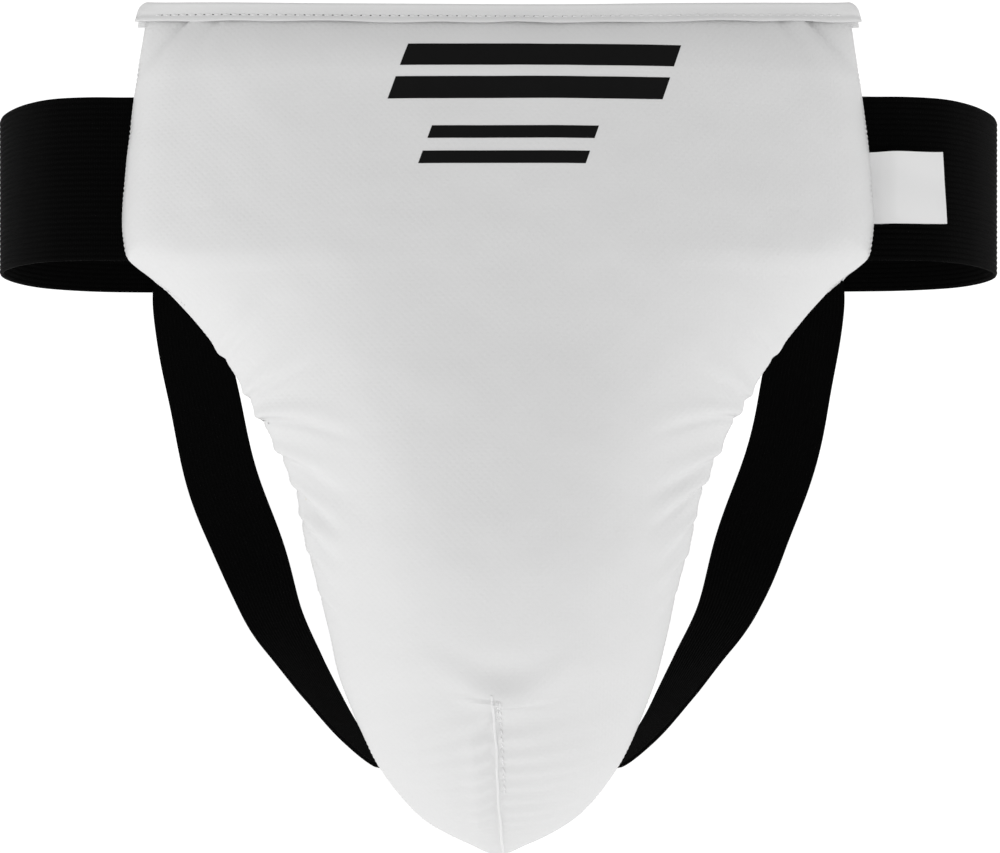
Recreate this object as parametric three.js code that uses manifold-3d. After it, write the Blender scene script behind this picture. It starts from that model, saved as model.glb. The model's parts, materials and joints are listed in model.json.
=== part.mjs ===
// Groin protector: a padded guard with a hard cup inside, an elastic waist ring that opens at the back,
// and two elastic leg straps that run from the back of the ring to the bottom of the guard.
//
// Millimetres. +X is the right side seen from the front, -Y is the front (away from the wearer), +Z is up.
// The origin is under the middle of the whole object, level with the guard's bottom tip.

import * as THREE from "three";
import { mergeGeometries, mergeVertices } from "three/addons/utils/BufferGeometryUtils.js";
import Module from "manifold-3d";

const wasm = await Module();
wasm.setup();

// ---------------------------------------------------------------- driving dimensions

const GAP = 0.3; // clearance between neighbouring layers
const FRAME_SHIFT_Y = 11; // centres the object's depth on the origin

const GUARD_TOP = 312.5; // hem height at the corners
const TOP_DIP = 4.5; // how far the hem sags at the middle
const TOP_HALF_WIDTH = 128;
const FLAT_BACK_Y = -57; // the back panel lies flat against the lower belly here
const FLAT_FROM_Z = 196;

const COVER_THICKNESS = 1.3;
const LINING_THICKNESS = 1.4;
const LINER_THICKNESS = 4;
const CUP_THICKNESS = 3;

const CUP_CENTRE_Z = 113;
const CUP_HALF_WIDTH = 43;
const CUP_HALF_HEIGHT = 62;
const CUP_TAPER = 0.22; // the cup narrows towards its lower end by this share
const CUP_DEPTH = 33;

const BINDING_THICKNESS = 1.1;
const THREAD = 0.6;

const BAND_HEIGHT = 60;
const BAND_CENTRE_Z = 250;
const BAND_THICKNESS = 1.6;
const HINGE_X = 105; // the band's tails swing open here, beside the leg straps
const HINGE_Y = 78;
const HINGE_CLEARANCE = [0.9, 1.3]; // from the hinge line to the tail and to the fixed band
const CLOSURE_HALF_OVERLAP = 30;
const CLOSURE_START_X = 60; // the tails run flat and parallel from here to the middle
const PATCH_HEIGHT = 50;
const PATCH_THICKNESS = 1.2;
const PATCH_HALF_LENGTH = 26;

const STRAP_WIDTH = 30;
const STRAP_THICKNESS = 1.5;
const STRAP_END_X = [118.5, 148.5]; // where the strap is sewn over the band
const STRAP_END_HEIGHT = 24;
const ANCHOR_HALF_WIDTH = 14;
const ANCHOR_Z = [20, 54];

const TAB_X = [137.6, 163.5];
const TAB_Z = [234, 260];
const TAB_Y = -47.2;
const TAB_THICKNESS = 1.5;

// ---------------------------------------------------------------- materials

function material(colour, roughness) {
  return new THREE.MeshStandardMaterial({ color: colour, roughness, metalness: 0 });
}

const WHITE_LEATHER = material(0xdcdcdc, 0.45);
const WHITE_THREAD = material(0xe6e6e6, 0.7);
const BLACK_ELASTIC = material(0x101010, 0.85);
const BLACK_THREAD = material(0x0c0c0c, 0.7);
const BLACK_HOOK = material(0x141414, 0.6);
const BLACK_LOOP = material(0x0e0e0e, 0.95);
const FOAM = material(0xd8d4c4, 0.9);
const CUP_PLASTIC = material(0xc9cdd2, 0.35);
const LINING = material(0xd2d2d0, 0.8);

// ---------------------------------------------------------------- helpers

// Value along [position, value] stations: a monotone cubic, which never overshoots a station.
function profile(...stations) {
  const last = stations.length - 1;
  const rise = stations.slice(1).map(([p, v], i) => (v - stations[i][1]) / (p - stations[i][0]));
  const tangents = stations.map((_, i) => {
    if (i === 0) return rise[0];
    if (i === last) return rise[last - 1];
    const product = rise[i - 1] * rise[i];
    return product > 0 ? (2 * product) / (rise[i - 1] + rise[i]) : 0;
  });
  return (at) => {
    const p = THREE.MathUtils.clamp(at, stations[0][0], stations[last][0]);
    let i = 0;
    while (i < last - 1 && p > stations[i + 1][0]) i++;
    const [[a, va], [b, vb]] = [stations[i], stations[i + 1]];
    const span = b - a;
    const t = (p - a) / span;
    const bend = span * (tangents[i] * (t ** 3 - 2 * t ** 2 + t) + tangents[i + 1] * (t ** 3 - t ** 2));
    return va + (vb - va) * (3 * t ** 2 - 2 * t ** 3) + bend;
  };
}

function turnedOver(geometry) {
  const index = geometry.index.array;
  for (let i = 0; i < index.length; i += 3) [index[i + 1], index[i + 2]] = [index[i + 2], index[i + 1]];
  return geometry;
}

// A grid of faces; place gives the point at a column and a row.
function sheet(columns, rows, place) {
  const geometry = new THREE.PlaneGeometry(1, 1, columns, rows);
  geometry.deleteAttribute("normal");
  geometry.deleteAttribute("uv");
  const position = geometry.getAttribute("position");
  for (let j = 0; j <= rows; j++) {
    for (let i = 0; i <= columns; i++) {
      const p = place(i, j);
      position.setXYZ(j * (columns + 1) + i, p.x, p.y, p.z);
    }
  }
  return geometry;
}

// Joins sheets into one closed surface, drops faces without area, and turns the surface to face out.
function closed(sheets) {
  const geometry = mergeVertices(mergeGeometries(sheets), 1e-4);
  const index = geometry.index.array;
  const kept = [];
  for (let i = 0; i < index.length; i += 3) {
    const [a, b, c] = index.slice(i, i + 3);
    if (a !== b && b !== c && c !== a) kept.push(a, b, c);
  }
  geometry.setIndex(kept);
  const solid = new wasm.Manifold(
    new wasm.Mesh({
      numProp: 3,
      vertProperties: geometry.attributes.position.array,
      triVerts: new Uint32Array(kept),
    }),
  );
  if (solid.volume() < 0) turnedOver(geometry);
  geometry.computeVertexNormals();
  return geometry;
}

// A curved plate: place gives the point at a column, a row and a side (0 outer, 1 inner).
function plate(columns, rows, place) {
  return closed([
    sheet(columns, rows, (i, j) => place(i, j, 0)),
    turnedOver(sheet(columns, rows, (i, j) => place(i, j, 1))),
    sheet(columns, 1, (i, w) => place(i, rows, w)),
    sheet(columns, 1, (i, w) => place(i, 0, 1 - w)),
    sheet(1, rows, (w, j) => place(0, j, 1 - w)),
    sheet(1, rows, (w, j) => place(columns, j, w)),
  ]);
}

const root = new THREE.Group();
const model = new THREE.Group();
model.position.y = FRAME_SHIFT_Y;
root.add(model);

function add(name, geometry, look) {
  const mesh = new THREE.Mesh(geometry, look);
  mesh.name = name;
  model.add(mesh);
}

// ---------------------------------------------------------------- flat paths with offsets

// Gives each point of a line in the plane a normal whose offsets stay parallel round the corners.
function withNormals(points) {
  const normals = points.slice(1).map((p, i) => {
    const along = p.clone().sub(points[i]).normalize();
    return new THREE.Vector2(along.y, -along.x);
  });
  return points.map((point, i) => {
    const before = normals[Math.max(i - 1, 0)];
    const after = normals[Math.min(i, normals.length - 1)];
    const normal = before.clone().add(after).divideScalar(1 + before.dot(after));
    return { point, normal };
  });
}

// A sewing thread laid as a line on a surface; lift gives the space point at (s, t) and a height.
function threadLine(points, lift) {
  const path = withNormals(points.map(([s, t]) => new THREE.Vector2(s, t)));
  return plate(path.length - 1, 1, (i, j, side) => {
    const offset = (j - 0.5) * THREAD;
    const p = path[i].point.clone().addScaledVector(path[i].normal, offset);
    return lift(p.x, p.y, side === 0 ? THREAD : 0);
  });
}

// Rectangle of stitching, open by one stitch at its start; step is the longest stretch on its long sides.
function stitchBox([s0, s1], [t0, t1], step = Infinity) {
  const OPEN = 2;
  const steps = Math.max(1, Math.ceil((s1 - s0) / step));
  const run = (from, to, t) =>
    Array.from({ length: steps + 1 }, (_, i) => [THREE.MathUtils.lerp(from, to, i / steps), t]);
  return [...run(s0, s1, t0), ...run(s1, s0, t1), [s0, t0 + OPEN]];
}

// ---------------------------------------------------------------- the guard's surfaces

// Right edge of the guard from the bottom tip up to the hem corner.
const edge = new THREE.CatmullRomCurve3(
  [
    [0, 0], [11, 3.5], [28, 12.6], [45.6, 35], [57.5, 64], [65.6, 100], [75, 138], [92, 172], [111, 199],
    [124.5, 213], [133.5, 221], [136.6, 238], [133.5, 272], [TOP_HALF_WIDTH, GUARD_TOP],
  ].map(([x, z]) => new THREE.Vector3(x, 0, z)),
  false,
  "centripetal",
);
const EDGE_STEPS = 16;
const HEM_STEPS = 4;
const edgeSamples = edge.getSpacedPoints(300);

function halfWidth(z) {
  const NARROWEST = 4;
  const above = edgeSamples.find((p) => p.z >= z) ?? edgeSamples.at(-1);
  return Math.max(above.x, NARROWEST);
}

// Depth of the side seam, and how far the front and back stand forward of it at the middle.
const seamY = profile([0, -27], [25, -29], [50, -34], [75, -40], [110, -44], [150, -46], [GUARD_TOP, -47]);
const frontCrown = profile(
  [0, 4], [8, 15], [25, 29], [50, 40], [66, 43], [80, 47.5], [110, 50], [150, 45], [200, 37],
  [250, 28], [292, 20], [GUARD_TOP, 17],
);
const backCrown = profile(
  [0, 0], [25, 18], [50, 24], [75, 22], [110, 14], [150, 13], [175, 16], [200, 20], [250, 16],
  [GUARD_TOP, 14],
);
// Rounding of the front and back towards the outline.
const frontRoll = profile([0, 3], [25, 8], [40, 10], [285, 10], [GUARD_TOP, 2]);
const backRoll = profile([0, 1.5], [25, 3], [40, 4], [290, 3.5], [GUARD_TOP, 2]);

function hemZ(x) {
  return GUARD_TOP - TOP_DIP * (1 - (x / TOP_HALF_WIDTH) ** 2);
}

// Outline of the guard as points with inward normals, starting at the bottom tip and rising on the right.
function outlinePoints() {
  const right = edge.getSpacedPoints(EDGE_STEPS);
  const hem = [];
  for (let i = 1; i <= HEM_STEPS; i++) {
    const x = TOP_HALF_WIDTH * (1 - i / HEM_STEPS);
    hem.push(new THREE.Vector3(x, 0, hemZ(x)));
  }
  const half = [...right, ...hem];
  const left = half.slice(1, -1).reverse().map((p) => new THREE.Vector3(-p.x, 0, p.z));
  const ring = [...half, ...left];
  return ring.map((point, i) => {
    const along = ring[(i + 1) % ring.length].clone().sub(ring.at(i - 1)).normalize();
    return { point, inward: new THREE.Vector3(-along.z, 0, along.x) };
  });
}
const outline = outlinePoints();
const SECTORS = outline.length;
const cupCentre = new THREE.Vector3(0, 0, CUP_CENTRE_Z);

// Edge of the cup in the direction of an outline point.
function cupEdge(point) {
  const angle = Math.atan2(point.z - CUP_CENTRE_Z, point.x);
  const up = Math.sin(angle);
  const width = CUP_HALF_WIDTH * (1 + CUP_TAPER * up);
  const radius = 1 / Math.hypot(Math.cos(angle) / width, up / CUP_HALF_HEIGHT);
  return new THREE.Vector3(radius * Math.cos(angle), 0, CUP_CENTRE_Z + radius * up);
}

// Share of the crown that is left at a point: 1 on the centre line, 0 at the side seam.
function crownShare(p) {
  return 1 - Math.min(1, Math.abs(p.x) / halfWidth(p.z)) ** 2;
}

const rolled = (reach, power) => Math.sqrt(1 - Math.max(reach - 1, 0) ** power);

// Places on the guard are given by reach (0 cup centre, 1 cup edge, 2 outline) and inset below the surface.
const surface = {
  front: (p, reach, inset) => {
    const roll = rolled(reach, 6);
    return seamY(p.z) - frontCrown(p.z) * crownShare(p) - (frontRoll(p.z) - inset) * roll;
  },
  back: (p, reach, inset) => {
    const roll = rolled(reach, 8);
    const hollow = reach < 1 ? CUP_DEPTH * (1 - reach ** 2) ** 0.8 : 0;
    const y = seamY(p.z) - backCrown(p.z) * crownShare(p) + (backRoll(p.z) - inset) * roll - hollow;
    return p.z > FLAT_FROM_Z && reach < 1.8 ? Math.max(y, FLAT_BACK_Y - inset) : y;
  },
  rim: (p) => seamY(p.z) - ((frontCrown(p.z) + backCrown(p.z)) / 2) * crownShare(p),
};

function guardPoint(sector, { reach, side, inset }) {
  const { point, inward } = outline[sector % SECTORS];
  const cup = cupEdge(point);
  const p = reach <= 1 ? cupCentre.clone().lerp(cup, reach) : cup.lerp(point, reach - 1);
  const y = surface[side](p, reach, inset);
  if (side === "rim") p.addScaledVector(inward, inset);
  p.y = y;
  return p;
}

function skin(stations) {
  return sheet(SECTORS, stations.length - 1, (i, j) => guardPoint(i, stations[j]));
}

// A piece of the guard between an outer and an inner skin, each running from the middle outwards.
function layer(outer, inner) {
  const sheets = [skin(outer), turnedOver(skin(inner)), skin([outer.at(-1), inner.at(-1)])];
  if (outer[0].reach > 0) sheets.push(skin([inner[0], outer[0]]));
  return closed(sheets);
}

const at = (rings, side, inset) => rings.map((reach) => ({ reach, side, inset }));

const EDGE_RING = 1.88; // the lining and the foam end here
const TURN_RING = 1.97; // the cover starts to turn round the edge here
const FRONT_RINGS = [0, 0.45, 0.78, 1, 1.28, 1.65, EDGE_RING];
const CUP_RINGS = [0, 0.45, 0.78, 1];
const CUSHION_RINGS = [1.03, 1.22];
const LINER_RINGS = [...CUP_RINGS, ...CUSHION_RINGS];
const POCKET_RINGS = [...LINER_RINGS, 1.25]; // the foam is hollowed out for the cup up to here
const OUTER_RINGS = [1.28, 1.65, EDGE_RING];

const LINING_BACK = COVER_THICKNESS + GAP;
const LINING_FRONT = LINING_BACK + LINING_THICKNESS;
const LINER_BACK = LINING_FRONT + GAP;
const LINER_FRONT = LINER_BACK + LINER_THICKNESS;
const CUP_BACK = LINER_FRONT + GAP;
const CUP_FRONT = CUP_BACK + CUP_THICKNESS;

// ---------------------------------------------------------------- guard pieces

// The outer skin wraps over the edge and ends a little way in on the back.
function coverSkin(inset) {
  return [
    ...at([...FRONT_RINGS, TURN_RING], "front", inset),
    { reach: 2, side: "rim", inset },
    ...at([TURN_RING, EDGE_RING], "back", inset),
  ];
}

function guardPieces() {
  const foamBack = [
    ...at(POCKET_RINGS, "back", CUP_FRONT + GAP),
    ...at(OUTER_RINGS, "back", LINING_FRONT + GAP),
  ];
  const liningRings = [...POCKET_RINGS, ...OUTER_RINGS];
  add("front_cover", layer(coverSkin(0), coverSkin(COVER_THICKNESS)), WHITE_LEATHER);
  add("foam_pad", layer(at(FRONT_RINGS, "front", COVER_THICKNESS + GAP), foamBack), FOAM);
  add("cup_shell", layer(at(CUP_RINGS, "back", CUP_FRONT), at(CUP_RINGS, "back", CUP_BACK)), CUP_PLASTIC);
  const cushion = [at(CUSHION_RINGS, "back", CUP_FRONT), at(CUSHION_RINGS, "back", CUP_BACK)];
  add("cup_rim_cushion", layer(...cushion), FOAM);
  const liner = [at(LINER_RINGS, "back", LINER_FRONT), at(LINER_RINGS, "back", LINER_BACK)];
  add("cup_liner", layer(...liner), FOAM);
  const lining = [at(liningRings, "back", LINING_FRONT), at(liningRings, "back", LINING_BACK)];
  add("back_lining", layer(...lining), LINING);
}

// The binding folds over the hem: down the front, over the top and down the back.
const HEM_FROM = EDGE_STEPS;
const HEM_COLUMNS = 2 * HEM_STEPS;
const BINDING_RING = 1.955;

function topBinding() {
  const stations = [
    { reach: BINDING_RING, side: "front" },
    { reach: TURN_RING, side: "front" },
    { reach: 2, side: "rim" },
    { reach: TURN_RING, side: "back" },
    { reach: BINDING_RING, side: "back" },
  ];
  return plate(HEM_COLUMNS, stations.length - 1, (i, j, inner) => {
    const station = { ...stations[j], inset: 0 };
    const p = guardPoint(HEM_FROM + i, station);
    const out = GAP + (inner ? 0 : BINDING_THICKNESS);
    if (station.side === "rim") p.addScaledVector(outline[HEM_FROM + i].inward, -out);
    else p.y += station.side === "front" ? -out : out;
    return p;
  });
}

function guardTrim() {
  add("top_binding", topBinding(), WHITE_LEATHER);

  const bindingThread = plate(HEM_COLUMNS, 1, (i, j, side) => {
    const reach = BINDING_RING + 0.005 + 0.005 * j;
    const p = guardPoint(HEM_FROM + i, { reach, side: "front", inset: 0 });
    p.y -= 3 * GAP + BINDING_THICKNESS + (side === 0 ? THREAD : 0);
    return p;
  });
  add("top_binding_thread", bindingThread, WHITE_THREAD);

  // The dart pulls the cover in along the centre line under the cup.
  const DART_REACHES = [0.78, 1, 1.28, 1.4];
  const dartThread = plate(DART_REACHES.length - 1, 1, (i, j, side) => {
    const p = guardPoint(0, { reach: DART_REACHES[i], side: "front", inset: 0 });
    p.x = (j - 0.5) * THREAD;
    p.y -= 2 * GAP + (side === 0 ? THREAD : 0);
    return p;
  });
  add("dart_thread", dartThread, WHITE_THREAD);

  // Stitching that holds the lining under the cover's turned edge, all the way round the back.
  const BACK_SEAM = [1.91, 1.915];
  const seam = (lift) => at(BACK_SEAM, "back", 0).map((s) => ({ ...s, inset: -lift }));
  add("back_seam_thread", layer(seam(2 * GAP + THREAD), seam(2 * GAP)), WHITE_THREAD);
}

// ---------------------------------------------------------------- waist band

const BAND_Z = [BAND_CENTRE_Z - BAND_HEIGHT / 2, BAND_CENTRE_Z + BAND_HEIGHT / 2];

// Plan of the fixed part on the right: from behind the guard's edge round the hip to the rear.
const hipPath = withNormals(
  new THREE.CatmullRomCurve3(
    [
      [112, -42.2], [150, -43], [164, -39], [175.5, -29.5], [185, -17], [192.3, -3], [196.2, 13],
      [195, 35], [187.5, 55.5], [172, 70], [150, 75.8], [124, 77.6], [HINGE_X + HINGE_CLEARANCE[1], HINGE_Y],
    ].map(([x, y]) => new THREE.Vector3(x, y, 0)),
  ).getSpacedPoints(26).map((p) => new THREE.Vector2(p.x, p.y)),
);

// A strip standing on a plan path, between two offsets from it and two heights.
function strip(path, [inner, outer], [low, high], side) {
  return plate(path.length - 1, 1, (i, j, w) => {
    const { point, normal } = path[i];
    const p = point.clone().addScaledVector(normal, w ? inner : outer);
    return new THREE.Vector3(side * p.x, p.y, j ? high : low);
  });
}

const BAND_FACES = [-BAND_THICKNESS / 2, BAND_THICKNESS / 2];

// The part of the hip path at the rear between two distances from the centre plane.
function rearStretch([near, far]) {
  const cut = (a, b, x) => a.clone().lerp(b, (x - a.x) / (b.x - a.x));
  const rear = hipPath.map((s) => s.point).filter((p) => p.y > 0);
  const inside = rear.filter((p) => p.x > near && p.x < far);
  const beyond = rear[rear.indexOf(inside[0]) - 1];
  const before = rear[rear.indexOf(inside.at(-1)) + 1];
  return withNormals([cut(inside[0], beyond, far), ...inside, cut(inside.at(-1), before, near)]);
}

// Plan of a tail on the right, offset at the closure so that one tail lies over the other.
const CLOSURE_OFFSET = BAND_THICKNESS / 2 + PATCH_THICKNESS + 1.5 * GAP;

function tailPath(offset) {
  return withNormals([
    new THREE.Vector2(HINGE_X - HINGE_CLEARANCE[0], HINGE_Y),
    new THREE.Vector2(CLOSURE_START_X, HINGE_Y + offset),
    new THREE.Vector2(-CLOSURE_HALF_OVERLAP, HINGE_Y + offset),
  ]);
}

function waistBand() {
  const SEWN_X = [114, 131]; // stitching on the part that lies behind the guard
  const SEWN_MARGIN = 5;
  for (const [name, side] of Object.entries({ right: 1, left: -1 })) {
    add(name + "_waist_band", strip(hipPath, BAND_FACES, BAND_Z, side), BLACK_ELASTIC);
    const box = stitchBox(SEWN_X, [BAND_Z[0] + SEWN_MARGIN, BAND_Z[1] - SEWN_MARGIN]);
    const behindGuard = threadLine(box, (x, z, height) => {
      const [a, b] = hipPath.slice(0, 2).map((s) => s.point);
      const y = THREE.MathUtils.mapLinear(x, a.x, b.x, a.y, b.y);
      return new THREE.Vector3(side * x, y + BAND_THICKNESS / 2 + 2 * GAP + height, z);
    });
    add(name + "_band_thread", behindGuard, BLACK_THREAD);
    const offset = side * CLOSURE_OFFSET;
    add(name + "_band_tail", strip(tailPath(offset), BAND_FACES, BAND_Z, side), BLACK_ELASTIC);
  }
}

// Hook patch on the inner face of the right tail, loop patch on the outer face of the left tail.
function closurePatches() {
  const patchZ = [BAND_CENTRE_Z - PATCH_HEIGHT / 2, BAND_CENTRE_Z + PATCH_HEIGHT / 2];
  const patchPath = withNormals([
    new THREE.Vector2(PATCH_HALF_LENGTH, HINGE_Y),
    new THREE.Vector2(-PATCH_HALF_LENGTH, HINGE_Y),
  ]);
  const near = GAP / 2;
  const far = near + PATCH_THICKNESS;
  add("hook_patch", strip(patchPath, [near, far], patchZ, 1), BLACK_HOOK);
  add("loop_patch", strip(patchPath, [-far, -near], patchZ, 1), BLACK_LOOP);

  // Each patch's stitching shows on the other face of its tail.
  const MARGIN = 2;
  const half = PATCH_HALF_LENGTH - MARGIN;
  const box = stitchBox([-half, half], [patchZ[0] + MARGIN, patchZ[1] - MARGIN]);
  const face = CLOSURE_OFFSET + BAND_THICKNESS / 2 + GAP;
  const outside = (x, z, height) => new THREE.Vector3(x, HINGE_Y + face + height, z);
  const inside = (x, z, height) => new THREE.Vector3(x, HINGE_Y - face - height, z);
  add("hook_patch_thread", threadLine(box, outside), BLACK_THREAD);
  add("loop_patch_thread", threadLine(box, inside), BLACK_THREAD);
}

// ---------------------------------------------------------------- leg straps

// Middle line of the right strap with its turn about that line: 0 faces the front, 90 is edge-on.
const STRAP_LINE = [
  [133.2, 76.6, 214.5, 12], [127, 73, 176, 10], [117, 62, 142, 12], [105.4, 48.6, 113.5, 25],
  [92.2, 31, 86, 51], [80, 15.5, 68.5, 65], [69, 2.5, 54.5, 76], [56.7, -5, 40.5, 85],
  [43.5, -5, 29.5, 92], [31.5, -10.4, 25.5, 117], [25, -23, 30, 138], [18, -38, 37, 156],
];
const STRAP_STEPS = 26;

function legStrap(side) {
  const line = new THREE.CatmullRomCurve3(STRAP_LINE.map(([x, y, z]) => new THREE.Vector3(x, y, z)));
  const turn = profile(...STRAP_LINE.map((s, i) => [i / (STRAP_LINE.length - 1), s[3]]));
  const stations = Array.from({ length: STRAP_STEPS + 1 }, (_, i) => {
    const t = i / STRAP_STEPS;
    const along = line.getTangent(t);
    const across = new THREE.Vector3(-along.z, 0, along.x).normalize();
    const forward = along.clone().cross(across);
    const angle = THREE.MathUtils.degToRad(turn(t));
    const width = across.multiplyScalar(Math.cos(angle)).addScaledVector(forward, Math.sin(angle));
    return { point: line.getPoint(t), width, face: along.cross(width) };
  });
  return plate(STRAP_STEPS, 1, (i, j, w) => {
    const { point, width, face } = stations[i];
    const p = point.clone().addScaledVector(width, (j - 0.5) * STRAP_WIDTH);
    p.addScaledVector(face, (w - 0.5) * STRAP_THICKNESS);
    p.x *= side;
    return p;
  });
}

// The strap's upper end lies on the band's outer face and is sewn there with a box of stitches.
function strapEnds() {
  const path = rearStretch(STRAP_END_X);
  const inner = BAND_THICKNESS / 2 + GAP;
  const outer = inner + STRAP_THICKNESS;
  const low = BAND_Z[0];
  const MARGIN = 3;
  const STEP = 6;
  const sewn = stitchBox(
    [STRAP_END_X[0] + MARGIN, STRAP_END_X[1] - MARGIN],
    [low + MARGIN, low + STRAP_END_HEIGHT - MARGIN],
    STEP,
  );
  const onStrap = (side) => (x, z, height) => {
    const k = path.findIndex((s, i) => i > 0 && s.point.x <= x);
    const [a, b] = [path[k - 1].point, path[k].point];
    const p = a.clone().lerp(b, (x - a.x) / (b.x - a.x));
    const normal = new THREE.Vector2(b.y - a.y, a.x - b.x).normalize();
    p.addScaledVector(normal, outer + GAP + height);
    return new THREE.Vector3(side * p.x, p.y, z);
  };
  for (const [name, side] of Object.entries({ right: 1, left: -1 })) {
    const heights = [low, low + STRAP_END_HEIGHT];
    add(name + "_leg_strap", legStrap(side), BLACK_ELASTIC);
    add(name + "_leg_strap_end", strip(path, [inner, outer], heights, side), BLACK_ELASTIC);
    add(name + "_leg_strap_thread", threadLine(sewn, onStrap(side)), BLACK_THREAD);
  }
}

// Patch on the back of the guard's tip that covers the sewn lower ends of both straps.
function strapAnchor() {
  const CLEAR = 2;
  const COLUMNS = 4;
  const ROWS = 4;
  const onBack = (x, z, height) => {
    const p = new THREE.Vector3(x, 0, z);
    p.y = seamY(z) - backCrown(z) * crownShare(p) + backRoll(z) + CLEAR + height;
    return p;
  };
  const patch = plate(COLUMNS, ROWS, (i, j, w) => {
    const x = ANCHOR_HALF_WIDTH * ((2 * i) / COLUMNS - 1);
    const z = THREE.MathUtils.lerp(...ANCHOR_Z, j / ROWS);
    return onBack(x, z, w ? 0 : LINING_THICKNESS);
  });
  add("leg_strap_anchor", patch, WHITE_LEATHER);

  const MARGIN = 3;
  const STEP = 4;
  const half = ANCHOR_HALF_WIDTH - MARGIN;
  const upAndDown = stitchBox([ANCHOR_Z[0] + MARGIN, ANCHOR_Z[1] - MARGIN], [-half, half], STEP);
  const lift = LINING_THICKNESS + 3 * GAP;
  const stitching = threadLine(upAndDown, (z, x, height) => onBack(x, z, lift + height));
  add("leg_strap_anchor_thread", stitching, WHITE_THREAD);
}

// ---------------------------------------------------------------- side tab

// Small flag sewn into the right side seam; it lies over the band and can be lifted.
function sideTab() {
  const SLANT = 1.5; // the free edge leans outwards towards the bottom
  return plate(1, 1, (i, j, w) => {
    const x = i ? TAB_X[1] - SLANT * j : TAB_X[0];
    return new THREE.Vector3(x, TAB_Y + (w - 0.5) * TAB_THICKNESS, TAB_Z[j]);
  });
}

guardPieces();
guardTrim();
waistBand();
closurePatches();
strapEnds();
strapAnchor();
add("side_tab", sideTab(), WHITE_LEATHER);

export default root;
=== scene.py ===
"""Looks of the groin protector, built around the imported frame.

Shapes are worked out in millimetres in the frame's own axes: +X right, -Y front, +Z up. Meshes are in metres.
"""
import json
import math

import bmesh
import bpy
import numpy as np
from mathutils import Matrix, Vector, noise
from mathutils.bvhtree import BVHTree


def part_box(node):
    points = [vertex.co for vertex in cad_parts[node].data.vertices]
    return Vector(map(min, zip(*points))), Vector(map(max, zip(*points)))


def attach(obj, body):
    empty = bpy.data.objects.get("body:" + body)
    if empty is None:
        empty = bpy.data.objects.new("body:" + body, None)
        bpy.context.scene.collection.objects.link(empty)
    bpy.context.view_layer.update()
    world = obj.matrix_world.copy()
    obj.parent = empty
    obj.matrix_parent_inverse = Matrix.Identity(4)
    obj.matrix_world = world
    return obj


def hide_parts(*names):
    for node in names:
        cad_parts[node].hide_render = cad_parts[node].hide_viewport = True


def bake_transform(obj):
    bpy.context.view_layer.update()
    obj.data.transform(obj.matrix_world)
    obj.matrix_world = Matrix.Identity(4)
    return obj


MM = 0.001
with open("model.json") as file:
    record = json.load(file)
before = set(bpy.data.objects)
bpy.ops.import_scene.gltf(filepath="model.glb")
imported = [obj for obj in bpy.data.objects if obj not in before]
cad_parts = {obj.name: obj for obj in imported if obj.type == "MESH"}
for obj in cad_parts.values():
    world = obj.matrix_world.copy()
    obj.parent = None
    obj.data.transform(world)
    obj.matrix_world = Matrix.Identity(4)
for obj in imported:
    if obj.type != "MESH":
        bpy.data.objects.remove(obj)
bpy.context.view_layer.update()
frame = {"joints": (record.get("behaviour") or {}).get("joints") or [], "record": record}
JOINTS = {j["name"]: j for j in frame["joints"]}
SLOTS = {m["slot"]: m for m in frame["record"]["materials"]}

# ---------------------------------------------------------------- driving dimensions

HINGE_X, HINGE_Y = (1000 * v for v in JOINTS["outer_tail_open"]["pos_m"][:2])
SHIFT_Y = HINGE_Y - 78  # the profiles below are measured from the middle of the waist ring

GUARD_TOP = 312.5
TOP_DIP = 4.5
TOP_HALF_WIDTH = 128
FLAT_BACK_Y = -57
FLAT_FROM_Z = 196
CUP_CENTRE_Z = 113
CUP_HALF_WIDTH = 43
CUP_HALF_HEIGHT = 62
CUP_TAPER = 0.22
CUP_DEPTH = 33
COVER = 1.3
GAP = 0.3
LINING = 1.4
LINER = 4.0
CUP = 3.0

BAND_HEIGHT = 60
BAND_THICKNESS = 1.6
BAND_Z = 1000 * JOINTS["outer_tail_open"]["pos_m"][2]
CLOSURE_OFFSET = 2.45
STRAP_WIDTH = 30
STRAP_THICKNESS = 1.5

EDGE = [
    (0, 0), (5, 0.7), (11, 3.5), (18, 6.6), (28, 12.6), (36.5, 21.4), (45.6, 35), (57.5, 64), (65.6, 100),
    (70.8, 118), (75, 138), (92, 172), (111, 199), (124.7, 213), (131.3, 217.6), (135.2, 221.5), (136.5, 228),
    (136.8, 238), (133.5, 272), (TOP_HALF_WIDTH, GUARD_TOP),
]

# ---------------------------------------------------------------- curves


def profile(*stations):
    """Value along (position, value) stations: a monotone cubic."""
    p, v = (np.array(c, float) for c in zip(*stations))
    rise = np.diff(v) / np.diff(p)
    slope = np.empty_like(v)
    slope[0], slope[-1] = rise[0], rise[-1]
    product = rise[:-1] * rise[1:]
    total = np.where(product > 0, rise[:-1] + rise[1:], 1)
    slope[1:-1] = np.where(product > 0, 2 * product / total, 0)

    def value(at):
        at = np.clip(at, p[0], p[-1])
        i = np.clip(np.searchsorted(p, at) - 1, 0, len(p) - 2)
        span = p[i + 1] - p[i]
        t = (at - p[i]) / span
        bend = slope[i] * (t**3 - 2 * t**2 + t) + slope[i + 1] * (t**3 - t**2)
        return v[i] + (v[i + 1] - v[i]) * (3 * t**2 - 2 * t**3) + span * bend

    return value


def lengths(points):
    """Distance along a line of points to each of them."""
    return np.concatenate([[0], np.cumsum(np.linalg.norm(np.diff(points, axis=0), axis=1))])


def resample(points, count):
    """count + 1 evenly spaced points along a line of points."""
    s = lengths(points)
    at = np.linspace(0, s[-1], count + 1)
    return np.stack([np.interp(at, s, points[:, k]) for k in range(points.shape[1])], axis=1)


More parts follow.
